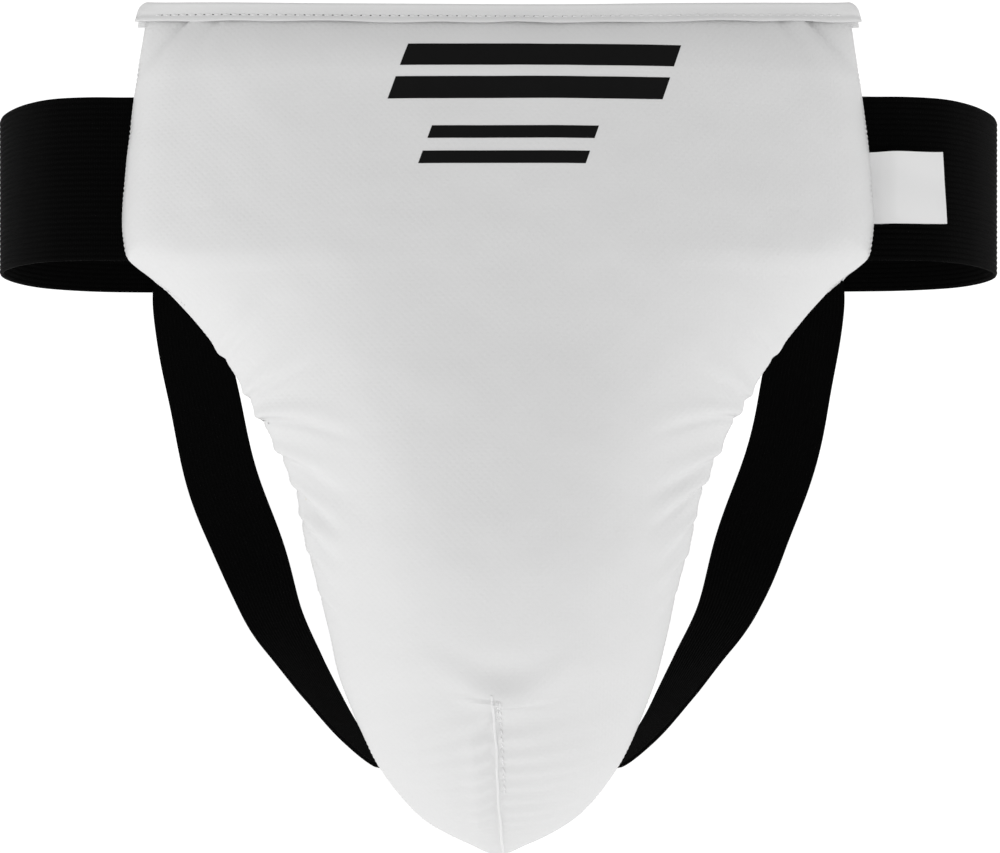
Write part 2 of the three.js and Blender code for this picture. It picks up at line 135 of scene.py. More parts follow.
def spline(points, count):
    """Centripetal Catmull-Rom curve through points, as count + 1 evenly spaced points."""
    p = np.array(points, float)
    p = np.vstack([2 * p[0] - p[1], p, 2 * p[-1] - p[-2]])
    t = np.linspace(0, 1, 24, endpoint=False)[:, None]
    out = []
    for a, b, c, d in zip(p, p[1:], p[2:], p[3:]):
        k0, k1, k2 = (math.sqrt(np.linalg.norm(y - x)) for x, y in ((a, b), (b, c), (c, d)))
        m1 = k1 * ((b - a) / k0 - (c - a) / (k0 + k1) + (c - b) / k1)
        m2 = k1 * ((c - b) / k1 - (d - b) / (k1 + k2) + (d - c) / k2)
        out.append(b + m1 * t + (3 * (c - b) - 2 * m1 - m2) * t**2 + (2 * (b - c) + m1 + m2) * t**3)
    return resample(np.vstack(out + [p[-2][None]]), count)


def smooth(t):
    """Smooth step from 0 to 1 as t goes from 0 to 1."""
    t = np.clip(t, 0, 1)
    return t * t * (3 - 2 * t)


def bell(t):
    return np.exp(-np.square(t))


# ---------------------------------------------------------------- meshes


def grid_faces(rows, columns, closed=False, start=0):
    """Faces of a grid of rows x columns points; closed joins the last column to the first."""
    span = columns if closed else columns - 1
    r, c = np.meshgrid(np.arange(rows - 1), np.arange(span), indexing="ij")
    right = (c + 1) % columns
    quads = np.stack([r * columns + c, r * columns + right, (r + 1) * columns + right, (r + 1) * columns + c])
    return (quads.reshape(4, -1).T + start).tolist()


def tube_faces(rings, sides):
    """Faces of a tube of rings, its two ends included."""
    last = (rings - 1) * sides
    ends = [list(range(sides))[::-1], list(range(last, last + sides))]
    return grid_faces(rings, sides, closed=True) + ends


def sheet_faces(rows, columns, closed=False):
    """Faces of two grids of points, the second one turned over."""
    back = grid_faces(rows, columns, closed, start=rows * columns)
    return grid_faces(rows, columns, closed) + [f[::-1] for f in back]


def even_grid(rows, columns, low, high):
    """Row and column values of an even grid that runs from low to high both ways."""
    values = np.linspace(low, high, rows + 1), np.linspace(low, high, columns + 1)
    return np.meshgrid(*values, indexing="ij")


def slab(outer, inner):
    """Points and faces of a closed sheet between two grids of points."""
    index = np.arange(outer[..., 0].size).reshape(outer.shape[:2])
    loop = np.concatenate([index[0, :-1], index[:-1, -1], index[-1, :0:-1], index[:0:-1, 0]])
    after = np.roll(loop, -1)
    faces = sheet_faces(*index.shape)
    faces += np.stack([loop, loop + index.size, after + index.size, after], axis=1).tolist()
    return np.vstack([outer.reshape(-1, 3), inner.reshape(-1, 3)]), faces


def make(name, points, faces, material, body=None, slot=None, replaces=(), merge=1e-3, sharp=None, uv=None):
    """A mesh piece from points in millimetres; equal points are merged and faces are turned outwards."""
    mesh = bpy.data.meshes.new(name)
    mesh.from_pydata((np.asarray(points, float).reshape(-1, 3) * MM).tolist(), [], faces)
    if uv is not None:
        layer = mesh.uv_layers.new(name="UVMap")
        corner = np.empty(len(mesh.loops), int)
        mesh.loops.foreach_get("vertex_index", corner)
        layer.data.foreach_set("uv", np.asarray(uv, float).reshape(-1, 2)[corner].ravel())
    if merge:
        bm = bmesh.new()
        bm.from_mesh(mesh)
        bmesh.ops.remove_doubles(bm, verts=bm.verts, dist=merge * MM)
        bmesh.ops.dissolve_degenerate(bm, edges=bm.edges, dist=1e-7)
        bmesh.ops.recalc_face_normals(bm, faces=bm.faces)
        bm.to_mesh(mesh)
        bm.free()
    mesh.polygons.foreach_set("use_smooth", [True] * len(mesh.polygons))
    if sharp:
        mesh.set_sharp_from_angle(angle=math.radians(sharp))
    mesh.materials.append(material)
    piece = bpy.data.objects.new(name, mesh)
    bpy.context.scene.collection.objects.link(piece)
    if body:
        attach(piece, body)
    if replaces:
        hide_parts(*replaces)
    return piece


def tree_of(piece):
    """Search tree over a piece's mesh, in millimetres."""
    points = [v.co / MM for v in piece.data.vertices]
    return BVHTree.FromPolygons(points, [tuple(p.vertices) for p in piece.data.polygons])


def on_surface(tree, points, towards):
    """Points dropped on a surface along a direction, with its normals turned against that direction."""
    d = Vector(towards).normalized()
    places, normals = [], []
    for p in points:
        start = Vector(p) - d * 200
        hit, normal, _, _ = tree.ray_cast(start, d)
        if hit is None:
            hit, normal = Vector(p), -d
        places.append(tuple(hit))
        normals.append(tuple(normal if normal.dot(d) < 0 else -normal))
    return np.array(places), np.array(normals)


BACKWARD, FORWARD = (0, 1, 0), (0, -1, 0)


def dropped(tree, x, z, towards=BACKWARD, depth=-150.0):
    """Places of (x, z) on a surface, reached along Y from a starting depth, with the normals there."""
    return on_surface(tree, np.stack([x, np.full(len(x), float(depth)), z], axis=1), towards)


def unit(v):
    return v / np.maximum(np.linalg.norm(v, axis=-1, keepdims=True), 1e-12)


def stitch_template(length, radius, rings=6, sides=6):
    """One stitch along X: a plump thread whose two ends dip under the surface."""
    t = np.linspace(0, 1, rings)
    swell = np.sqrt(np.sin(np.pi * (0.06 + 0.88 * t)))
    sink = -1.3 * radius * (1 - swell)
    angle = np.linspace(0, 2 * math.pi, sides, endpoint=False)
    x = np.repeat((t - 0.5) * length, sides)
    y = np.outer(swell, np.cos(angle)).ravel() * radius
    z = (np.outer(swell, np.sin(angle)) * radius + sink[:, None]).ravel()
    return np.stack([x, y, z], axis=1), tube_faces(rings, sides)


def stitches(points, normals, pitch=3.4, radius=0.36, lift=0.12, slant=0.0, gap=0.22):
    """Points and faces of a row of stitches laid along a line with surface normals."""
    points, normals = np.asarray(points, float), np.asarray(normals, float)
    s = lengths(points)
    count = max(1, int(round(s[-1] / pitch)))
    at = (np.arange(count) + 0.5) * s[-1] / count
    centre = np.stack([np.interp(at, s, points[:, k]) for k in range(3)], axis=1)
    normal = unit(np.stack([np.interp(at, s, normals[:, k]) for k in range(3)], axis=1))
    ahead = np.stack([np.interp(at + 0.4, s, points[:, k]) for k in range(3)], axis=1)
    behind = np.stack([np.interp(at - 0.4, s, points[:, k]) for k in range(3)], axis=1)
    along = unit(ahead - behind)
    side = unit(np.cross(normal, along))
    along = unit(along * math.cos(slant) + side * math.sin(slant))
    side = unit(np.cross(normal, along))
    shape, faces = stitch_template(pitch * (1 - gap), radius)
    base = centre + normal * lift
    cloud = (
        base[:, None]
        + along[:, None] * shape[None, :, :1]
        + side[:, None] * shape[None, :, 1:2]
        + normal[:, None] * shape[None, :, 2:]
    )
    every = np.arange(count) * len(shape)
    return cloud.reshape(-1, 3), [[i + k for i in f] for k in every.tolist() for f in faces]


def joined(*parts):
    """Several (points, faces) made one."""
    points, faces, start = [], [], 0
    for p, f in parts:
        points.append(p)
        faces += [[i + start for i in face] for face in f]
        start += len(p)
    return np.vstack(points), faces


# ---------------------------------------------------------------- materials


class Nodes:
    """A material's node tree, with short calls for the nodes used here."""

    def __init__(self, name, colour, roughness):
        self.material = bpy.data.materials.new(name)
        self.material.use_nodes = True
        self.tree = self.material.node_tree
        self.shader = self.tree.nodes["Principled BSDF"]
        self.shader.inputs["Base Color"].default_value = (*colour, 1)
        self.shader.inputs["Roughness"].default_value = roughness
        self.colour = colour

    def node(self, kind, inputs=None, **settings):
        n = self.tree.nodes.new(kind)
        for key, value in settings.items():
            setattr(n, key, value)
        for key, value in (inputs or {}).items():
            if isinstance(value, bpy.types.NodeSocket):
                self.tree.links.new(value, n.inputs[key])
            else:
                n.inputs[key].default_value = value
        return n

    def place(self, kind="Object"):
        return self.node("ShaderNodeTexCoord").outputs[kind]

    def noise(self, vector, scale, detail=2.0, roughness=0.5):
        inputs = {"Vector": vector, "Scale": scale, "Detail": detail, "Roughness": roughness}
        return self.node("ShaderNodeTexNoise", inputs).outputs["Fac"]

    def cells(self, vector, scale, feature="F1"):
        cells = self.node("ShaderNodeTexVoronoi", {"Vector": vector, "Scale": scale}, feature=feature)
        return cells.outputs["Distance"]

    def math(self, operation, a, b=0.0, clamp=False):
        return self.node("ShaderNodeMath", {0: a, 1: b}, operation=operation, use_clamp=clamp).outputs[0]

    def wave(self, value, pitch, power=1.0):
        """0 to 1 along value, once in every pitch."""
        turn = self.math("MULTIPLY", value, 2 * math.pi / pitch)
        up = self.math("MULTIPLY_ADD", self.math("SINE", turn), 0.5)
        up.node.inputs[2].default_value = 0.5
        return self.math("POWER", up, power)

    def axes(self, vector):
        return self.node("ShaderNodeSeparateXYZ", {"Vector": vector}).outputs

    def tint(self, amount, low, high):
        """Base colour between two shares of the material's own colour."""
        ramp = self.node("ShaderNodeMix", {0: amount}, data_type="RGBA")
        for socket, share in ((6, low), (7, high)):
            ramp.inputs[socket].default_value = (*(c * share for c in self.colour), 1)
        self.tree.links.new(ramp.outputs[2], self.shader.inputs["Base Color"])

    def rough(self, amount, low, high):
        spread = self.node("ShaderNodeMapRange", {"Value": amount, "To Min": low, "To Max": high})
        self.tree.links.new(spread.outputs[0], self.shader.inputs["Roughness"])

    def bump(self, *layers):
        """Layers of (height, distance in metres, strength)."""
        normal = None
        for height, distance, strength in layers:
            inputs = {"Height": height, "Distance": distance, "Strength": strength}
            if normal is not None:
                inputs["Normal"] = normal
            normal = self.node("ShaderNodeBump", inputs).outputs[0]
        self.tree.links.new(normal, self.shader.inputs["Normal"])

    def set(self, **values):
        for key, value in values.items():
            self.shader.inputs[key.replace("_", " ")].default_value = value


def slot_colour(name, scale=1.0):
    return tuple(min(1.0, c * scale) for c in SLOTS[name]["base_color"])


def leather(name, colour, roughness, grain=0.0007, depth=0.00006, gloss=0.3, backing=0.0):
    """Coated leathercloth; backing is how far its diagonal backing cloth shows through."""
    n = Nodes(name, colour, roughness)
    here = n.place()
    x, _, z = n.axes(here)
    twill = [n.wave(n.math(kind, x, z), 0.0026) for kind in ("ADD", "SUBTRACT")]
    cloth = n.math("MULTIPLY", *twill)
    pebble = n.cells(here, 1 / grain, "SMOOTH_F1")
    creases = n.noise(here, 0.55 / grain, 4, 0.6)
    cloudy = n.noise(here, 14, 3, 0.55)
    n.tint(cloudy, 0.975, 1.02)
    n.rough(n.noise(here, 60, 3, 0.6), roughness - 0.05, roughness + 0.07)
    n.bump((pebble, depth, 0.5), (creases, depth, 0.45), (n.noise(here, 120, 2, 0.5), 0.0004, 0.10),
           (cloth, backing, 0.5))
    n.set(Specular_IOR_Level=gloss)
    return n.material


def elastic(name, colour, weft, warp):
    """Woven elastic: U runs along the tape and V across it, both in millimetres."""
    n = Nodes(name, colour, 0.82)
    u, v, _ = n.axes(n.place("UV"))
    wobble = n.noise(n.place(), 900, 2)
    shifted = n.math("ADD", u, n.math("MULTIPLY", wobble, 0.35))
    picks = n.wave(shifted, weft, 0.7)
    ends = n.wave(v, warp, 0.7)
    weave = n.math("MULTIPLY", picks, ends)
    fuzz = n.noise(n.place(), 2600, 3, 0.7)
    n.tint(n.math("MULTIPLY", weave, fuzz), 0.55, 1.9)
    n.rough(fuzz, 0.72, 0.95)
    n.bump((weave, 0.00022, 0.7), (fuzz, 0.00008, 0.5))
    n.set(Specular_IOR_Level=0.03)
    return n.material


def yarn(name, colour):
    n = Nodes(name, colour, 0.62)
    here = n.place()
    x, y, z = n.axes(here)
    twist = n.wave(n.math("ADD", n.math("ADD", x, y), z), 0.00045)
    n.tint(twist, 0.82, 1.05)
    n.rough(n.noise(here, 3000), 0.5, 0.75)
    n.bump((twist, 0.00006, 0.6))
    n.set(Sheen_Weight=0.05)
    return n.material


def woven(name, colour, pitch=0.0011):
    n = Nodes(name, colour, 0.82)
    here = n.place()
    x, _, z = n.axes(here)
    picks = n.math("MULTIPLY", n.wave(x, pitch, 0.8), n.wave(z, pitch, 0.8))
    fuzz = n.noise(here, 2400, 3, 0.7)
    n.tint(n.math("ADD", n.math("MULTIPLY", picks, 0.6), n.math("MULTIPLY", fuzz, 0.4)), 0.86, 1.04)
    n.rough(fuzz, 0.72, 0.92)
    n.bump((picks, 0.0002, 0.6), (fuzz, 0.00006, 0.4), (n.noise(here, 45, 2), 0.0012, 0.15))
    n.set(Sheen_Weight=0.06, Specular_IOR_Level=0.2)
    return n.material


def foam(name, colour):
    n = Nodes(name, colour, 0.9)
    here = n.place()
    pores = n.cells(here, 1500)
    n.tint(pores, 0.78, 1.05)
    n.rough(pores, 0.95, 0.8)
    n.bump((pores, 0.0002, 0.6), (n.noise(here, 60), 0.001, 0.15))
    return n.material


def plastic(name, colour, roughness, gloss=0.4):
    n = Nodes(name, colour, roughness)
    here = n.place()
    haze = n.noise(here, 300, 4, 0.6)
    n.tint(n.noise(here, 18), 0.95, 1.03)
    n.rough(haze, roughness - 0.06, roughness + 0.12)
    n.bump((haze, 0.00004, 0.3))
    n.set(Specular_IOR_Level=gloss)
    return n.material


COVER_LEATHER = leather("cover_leather", slot_colour("cover_leather"), 0.5, backing=0.00009)
# painted highlight: the cover leather made a tenth lighter for the bright ridge along the dart
RIDGE_HIGHLIGHT_LEATHER = leather("ridge_highlight_leather", slot_colour("cover_leather", 1.1), 0.4)
BINDING_LEATHER = leather(
    "binding_leather", slot_colour("binding_leather", 1.03), 0.42, grain=0.0009, gloss=0.35)
TAB_LEATHER = leather(
    "tab_leather", slot_colour("tab_leather", 1.08), 0.3, grain=0.0012, depth=0.00003, gloss=0.45)
WHITE_THREAD = yarn("white_thread", slot_colour("white_thread"))
BLACK_THREAD = yarn("black_thread", slot_colour("black_thread", 1.6))
WAIST_ELASTIC = elastic("waist_elastic", slot_colour("waist_elastic", 0.25), weft=0.9, warp=2.0)
STRAP_ELASTIC = elastic("strap_elastic", slot_colour("strap_elastic", 0.3), weft=0.8, warp=1.5)
LINING_FABRIC = woven("lining_fabric", slot_colour("lining_fabric"))
FOAM = foam("foam", slot_colour("foam"))
CUP_PLASTIC = plastic("cup_plastic", slot_colour("cup_plastic"), 0.36)
HOOK_TAPE = plastic("hook_tape", slot_colour("hook_tape"), 0.5)
LOOP_TAPE = woven("loop_tape", slot_colour("loop_tape"), 0.0008)
# painted shade: dark grey standing in for the shadow inside the needle holes
HOLE_SHADE = plastic("hole_shade", (0.06, 0.06, 0.06), 0.8, gloss=0.1)
PRINT = plastic("print_ink", (0.004, 0.004, 0.004), 0.75, gloss=0.1)

# ---------------------------------------------------------------- the guard's form

edge_line = spline(EDGE, 900)
seam_y = profile((0, -27), (25, -29), (50, -34), (75, -40), (110, -44), (150, -46), (GUARD_TOP, -47))
front_crown = profile(
    (0, 4), (8, 15), (25, 29), (50, 40), (66, 43), (80, 47.5), (110, 50), (150, 45), (200, 37),
    (250, 28), (292, 20), (GUARD_TOP, 17),
)
back_crown = profile(
    (0, 0), (25, 18), (50, 24), (75, 22), (110, 14), (150, 13), (175, 16), (200, 20), (250, 16),
    (GUARD_TOP, 14),
)
front_roll = profile((0, 3), (25, 8), (40, 10), (285, 10), (GUARD_TOP, 2))
back_roll = profile((0, 1.5), (25, 3), (40, 4), (290, 3.5), (GUARD_TOP, 2))
FRONT_ROUNDING = 18  # width of the rounded zone along the outline
BACK_ROUNDING = 14
CROWN_POWER = 2.5  # the front is flatter in the middle and rounder at the sides than a parabola


def half_width(z):
    return np.maximum(np.interp(z, edge_line[:, 1], edge_line[:, 0]), 4)


def hem_drop(x):
    return TOP_DIP * np.clip(1 - (x / TOP_HALF_WIDTH) ** 2, 0, 1)


def outline_loop(count):
    """Outline as (x, z) points from the tip up the right side, along the hem and down the left side."""
    x = np.linspace(TOP_HALF_WIDTH, -TOP_HALF_WIDTH, 200)[1:-1]
    hem = np.stack([x, GUARD_TOP - hem_drop(x)], axis=1)
    left = (edge_line * (-1, 1))[::-1]
    return resample(np.vstack([edge_line, hem, left]), count)


outline = outline_loop(1600)
outline_turn = np.unwrap(np.arctan2(outline[:, 1] - CUP_CENTRE_Z, outline[:, 0]))
outline_reach = np.hypot(outline[:, 0], outline[:, 1] - CUP_CENTRE_Z)


def cup_radius(turn):
    up = np.sin(turn)
    return 1 / np.hypot(np.cos(turn) / (CUP_HALF_WIDTH * (1 + CUP_TAPER * up)), up / CUP_HALF_HEIGHT)


def reach_of(x, z):
    """0 at the cup's centre, 1 at its edge and 2 at the outline."""
    turn = np.arctan2(z - CUP_CENTRE_Z, x)
    turn = np.where(turn < outline_turn[0], turn + 2 * math.pi, turn)
    r = np.hypot(x, z - CUP_CENTRE_Z)
    cup = cup_radius(turn)
    rim = np.interp(turn, outline_turn, outline_reach)
    return np.clip(np.where(r <= cup, r / cup, 1 + (r - cup) / (rim - cup)), 0, 2)


def edge_distance(x, z):
    """Distance to the outline, by rows of points."""
    shape = np.shape(x)
    flat = np.stack([np.ravel(x), np.ravel(z)], axis=1)
    out = np.empty(len(flat))
    for i in range(0, len(flat), 512):
        part = flat[i : i + 512, None] - outline[None]
        out[i : i + 512] = np.sqrt((part**2).sum(axis=2).min(axis=1))
    return out.reshape(shape)


def crown_share(x, z, power=2.0):
    return 1 - np.minimum(1, np.abs(x) / half_width(z)) ** power


def roll_share(distance, width):
    return np.sqrt(1 - (1 - np.clip(distance / width, 0, 1)) ** 2.4)


def front_y(x, z, inset=0.0):
    roll = roll_share(edge_distance(x, z), FRONT_ROUNDING)
    share = crown_share(x, z, CROWN_POWER)
    return SHIFT_Y + seam_y(z) - front_crown(z) * share - (front_roll(z) - inset) * roll


def back_y(x, z, inset=0.0):
    reach = reach_of(x, z)
    roll = roll_share(edge_distance(x, z), BACK_ROUNDING)
    hollow = CUP_DEPTH * np.clip(1 - reach**2, 0, 1) ** 0.8
    y = seam_y(z) - back_crown(z) * crown_share(x, z) + (back_roll(z) - inset) * roll - hollow
    flat = smooth((z - FLAT_FROM_Z + 6) / 12) * (reach < 1.8)
    return SHIFT_Y + y + flat * np.maximum(FLAT_BACK_Y - inset - y, 0)


def polar(rings, sectors):
    """(x, z) of points on rings round the cup's centre, each ring starting below it."""
    loop = outline_loop(sectors)[:-1]
    turn = np.arctan2(loop[:, 1] - CUP_CENTRE_Z, loop[:, 0])
    cup = np.stack([np.cos(turn), np.sin(turn)], axis=1) * cup_radius(turn)[:, None] + (0, CUP_CENTRE_Z)
    centre = np.array([0, CUP_CENTRE_Z])
    out = [centre + (cup - centre) * r if r <= 1 else cup + (loop - cup) * (r - 1) for r in rings]
    return np.array(out)


# ---------------------------------------------------------------- cover

ROWS = 400
CENTRE_STEPS = 10
CENTRE_SHARE = 0.08  # the columns are finer in this share of the half width, for the dart
SIDE_STEPS = 60

centre_u = np.linspace(0, CENTRE_SHARE, CENTRE_STEPS + 1)
side_u = np.linspace(CENTRE_SHARE, 1, SIDE_STEPS + 1)[1:]
half_u = np.concatenate([centre_u, side_u])
COLUMN_U = np.concatenate([-half_u[:0:-1], half_u])

DART_TOP, DART_BOTTOM = (-1.9, 67.5), (0.9, 13)  # x and z of the dart's ends
GATHER_PITCH = 3.2  # distance between the dart's gathers at its bottom
GATHER_SPREAD = 0.13  # how much that grows with every millimetre of height


def dart_x(z):
    (x1, z1), (x0, z0) = DART_TOP, DART_BOTTOM
    return x0 + (x1 - x0) * (z - z0) / (z1 - z0)


def front_grid(rows, u):
    """Base form of the front as a grid of points: rows from the tip up, columns across."""
    rise = resample(edge_line, rows)
    wide, level = rise[:, :1], rise[:, 1:]
    x = wide * u[None]
    z = level - hem_drop(x) * smooth((level - 240) / (GUARD_TOP - 240))
    near_dart = smooth(z / 8) * smooth((95 - z) / 20) * (1 - u[None] ** 2)
    x = x + dart_x(z) * near_dart
    return np.stack([x, front_y(x, z), z], axis=2)


def grid_normals(p):
    """Normals of a grid of points, towards the front."""
    across = np.gradient(p, axis=1)
    up = np.gradient(p, axis=0)
    n = unit(np.cross(across, up))
    return np.where(n[..., 1:2] > 0.2, -n, n)


def inflated(rows, u, frames=20, limit=4.0):
    """How the cloth cover of a coarse guard moves under pressure, as a grid of moves."""
    front = front_grid(rows, u)
    x, z = front[..., 0], front[..., 2]
    back = np.stack([x, back_y(x, z), z], axis=2)
    count = front.shape[0] * front.shape[1]
    mesh = bpy.data.meshes.new("inflate")
    points = np.vstack([front.reshape(-1, 3), back.reshape(-1, 3)])
    mesh.from_pydata((points * MM).tolist(), [], sheet_faces(*front.shape[:2]))
    block = bpy.data.objects.new("inflate", mesh)
    bpy.context.scene.collection.objects.link(block)
    held = block.vertex_groups.new(name="held")
    rim = np.ones(front.shape[:2], bool)
    rim[1:-1, 1:-1] = False
    held.add(np.flatnonzero(rim.ravel()).tolist() + list(range(count, 2 * count)), 1.0, "REPLACE")
    loose = block.vertex_groups.new(name="loose")
    slack = np.clip(1 - edge_distance(x, z) / 30, 0, 1) * smooth((200 - z) / 30)
    for i, w in enumerate(slack.ravel().tolist()):
        if w > 0:
            loose.add([i], w, "REPLACE")
    cloth = block.modifiers.new("cloth", "CLOTH")
    settings = cloth.settings
    settings.quality = 6
    settings.mass = 0.25
    settings.tension_stiffness = settings.compression_stiffness = 18
    settings.shear_stiffness = 8
    settings.bending_stiffness = 0.6
    settings.use_pressure = True
    settings.uniform_pressure_force = 4
    settings.vertex_group_mass = "held"
    settings.vertex_group_shrink = "loose"
    settings.shrink_min = 0.0
    settings.shrink_max = -0.14
    settings.effector_weights.gravity = 0
    cloth.collision_settings.use_collision = False
    cloth.point_cache.frame_start = 1
    cloth.point_cache.frame_end = frames
    scene = bpy.context.scene
    for f in range(1, frames + 1):
        scene.frame_set(f)
    shown = block.evaluated_get(bpy.context.evaluated_depsgraph_get()).to_mesh()
    moved = np.array([v.co for v in shown.vertices])[:count] / MM
    move = moved.reshape(front.shape) - front
    scene.frame_set(1)
    bpy.data.objects.remove(block)
    size = np.linalg.norm(move, axis=2, keepdims=True)
    return move * np.minimum(1, limit / np.maximum(size, 1e-9))


def refined(move, rows, u_coarse, u_fine):
    """A coarse grid of moves spread over the fine grid."""
    coarse = np.linspace(0, 1, move.shape[0])
    fine = np.linspace(0, 1, rows + 1)
    tall = np.empty((rows + 1, move.shape[1], 3))
    for c in range(move.shape[1]):
        for k in range(3):
            tall[:, c, k] = profile(*zip(coarse, move[:, c, k]))(fine)
    out = np.empty((rows + 1, len(u_fine), 3))
    for k in range(3):
        for r in range(rows + 1):
            out[r, :, k] = np.interp(u_fine, u_coarse, tall[r, :, k])
    return out


def fold(x, z, start, angle, length, width, height, bend=0.0):
    """A ridge with a crease under it, from a point on the edge inwards, fading along its length."""
    a = math.radians(angle)
    dx, dz = x - start[0], z - start[1]
    along = dx * math.cos(a) + dz * math.sin(a)
    across = dz * math.cos(a) - dx * math.sin(a) - bend * along**2 / length
    spread = width * (0.55 + 0.75 * np.clip(along / length, 0, 1.3))
    fade = smooth((along + 7) / 7) * (1 - smooth((along - 0.25 * length) / (0.75 * length)))
    ridge = bell((across - 0.55 * spread) / spread)
    crease = bell((across + 0.35 * spread) / (0.45 * spread))
    return height * fade * (ridge - 0.95 * crease)


# Leg-cut folds on the left half: edge height, direction, length, width, height and bend.
LEG_FOLDS = [
    (186, 40, 34, 6.0, 0.7, 0.05), (171.5, 24, 32, 4.6, 1.0, 0.05), (163, 3, 42, 4.8, 1.5, -0.25),
    (150, -22, 34, 4.8, 1.3, -0.06), (137.5, -34, 30, 4.2, 1.2, -0.02), (126, -38, 24, 3.8, 0.9, 0.0),
    (113, -40, 20, 3.6, 0.6, 0.0), (98, -42, 18, 3.6, 0.4, 0.0),
]


def fold_heights(x, z):
    """Height of the wrinkles over the smooth cover."""
    total = np.zeros_like(x)
    rng = np.random.default_rng(7)
    for side in (-1, 1):
        for level, angle, length, width, height, bend in LEG_FOLDS:
            jitter = rng.uniform(-1, 1, 4) if side > 0 else np.zeros(4)
            level = level + 1.6 * jitter[0]
            edge = -float(half_width(np.array(level))) + 1.0
            deep = height * (1 + 0.2 * jitter[3]) * (1.0 if side > 0 else 1.12)
            shape = (angle + 5 * jitter[1], length * (1 + 0.2 * jitter[2]), width, deep)
            total += fold(-side * x, z, (edge, level), *shape, bend)
        # the cover is drawn in diagonally at the ends of the hem
        total += fold(-side * x, z, (-109, 308), 229, 36, 5.2, 1.5)
        total += fold(-side * x, z, (-98, 308), 238, 20, 3.0, 0.5)
        dimple = np.hypot(x - side * 104, z - 236.5)
        total -= 0.3 * bell(dimple / 1.6)
    return np.maximum(total, -1.05)  # no crease reaches the filling


def dart_heights(x, z):
    """Form of the cover round the centre dart: a bump at its top, puffs and fine gathers beside it."""
    off = x - dart_x(z)
    top = DART_TOP[1]
    span = smooth((z - 2) / 8) * smooth((top + 1.5 - z) / 5)
    brow_z = top + 0.016 * (x - 2) ** 2
    brow = 3.4 * bell((z - brow_z) / 4.8) * bell((x - 2) / 12.5)
    brow -= 2.0 * bell((z - brow_z - 9) / 5.0) * bell((x - 2) / 15)
    tucks = fold(x, z, (-1.8, top - 0.8), 176, 17, 1.7, 0.8) + fold(x, z, (3.2, top - 3.2), 3, 20, 2.2, 0.75)
    puff = 0.85 * bell((off + 7.5) / 3.4) * smooth((z - 8) / 10) * smooth((60 - z) / 12)
    valley = -0.5 * bell(off / 2.4) * span
    ridge = 0.4 * bell(off / 0.6) * span
    # the gathers lie close together at the bottom of the dart and wide apart at its top
    pitch = GATHER_PITCH + GATHER_SPREAD * (z - DART_BOTTOM[1])
    phase = 2 * math.pi * (np.log(pitch) / GATHER_SPREAD + 0.05 * np.where(off < 0, 0.8, -0.3) * np.abs(off))
    reach = np.exp(-np.abs(off) / 13) * (1 - bell(off / 1.6))
    reach = reach * smooth((z - 9) / 8) * smooth((top - 1 - z) / 8)
    gathers = 0.105 * pitch * reach * np.sin(phase + 0.8 * np.sin(z / 6.3))
    return brow + tucks + puff + valley + ridge + gathers


def soft_noise(x, z, size, seed):
    """Smooth seeded noise, about -1 to 1, over features of a given size."""
    flat = np.stack([np.ravel(x) / size, np.ravel(z) / size], axis=1)
    out = [noise.noise(Vector((a, b, seed))) for a, b in flat.tolist()]
    return 2 * np.array(out).reshape(np.shape(x))


def cover_grid():
    base = front_grid(ROWS, COLUMN_U)
    coarse_u = np.linspace(-1, 1, 41)
    moves = inflated(100, coarse_u)
    base = base + refined(moves, ROWS, coarse_u, COLUMN_U)
    x, z = base[..., 0], base[..., 2]
    near_edge = edge_distance(x, z)
    height = fold_heights(x, z) + dart_heights(x, z)
    height += 0.35 * soft_noise(x, z, 34, 3.3) + 0.14 * soft_noise(x, z, 13, 8.1)
    along_edge = smooth((z - 196) / 20) * smooth((306 - z) / 6)
    height -= 0.35 * bell((near_edge - 3.2) / 0.7) * along_edge * (near_edge < 12)
    return base + grid_normals(base) * height[..., None]


def boundary_of(grid):
    """The grid's outer points: tip, right side, hem, left side."""
    return np.vstack([grid[:, -1], grid[-1, -2::-1], grid[-2:0:-1, 0]])


def build_cover():
    """The white cover: its front, the edge, and the strip turned over to the back."""
    grid = cover_grid()
    rim = boundary_of(grid)
    x, z = rim[:, 0], rim[:, 2]
    turn = np.arctan2(z - CUP_CENTRE_Z, x)
    cup = np.stack([np.cos(turn), np.sin(turn)], axis=1) * cup_radius(turn)[:, None] + (0, CUP_CENTRE_Z)
    loops = [rim]
    for reach, inset in [(1.993, 0), (1.98, 0), (1.96, 0), (1.935, 0), (1.905, 0), (1.88, 0.15),
                         (1.876, 0.6), (1.88, 1.05), (1.9, 1.2), (1.93, 1.2)]:
        p = cup + (rim[:, [0, 2]] - cup) * (reach - 1)
        y = back_y(p[:, 0], p[:, 1], inset)
        loops.append(np.stack([p[:, 0], y, p[:, 1]], axis=1))
    loops = np.array(loops)
    turned = grid_faces(len(loops), len(rim), closed=True, start=grid[..., 0].size)
    faces = grid_faces(*grid.shape[:2]) + [f[::-1] for f in turned]
    points = np.vstack([grid.reshape(-1, 3), loops.reshape(-1, 3)])
    return make("guard_cover", points, faces, COVER_LEATHER, "guard", "cover_leather", ["front_cover"])


cover_tree = tree_of(build_cover())


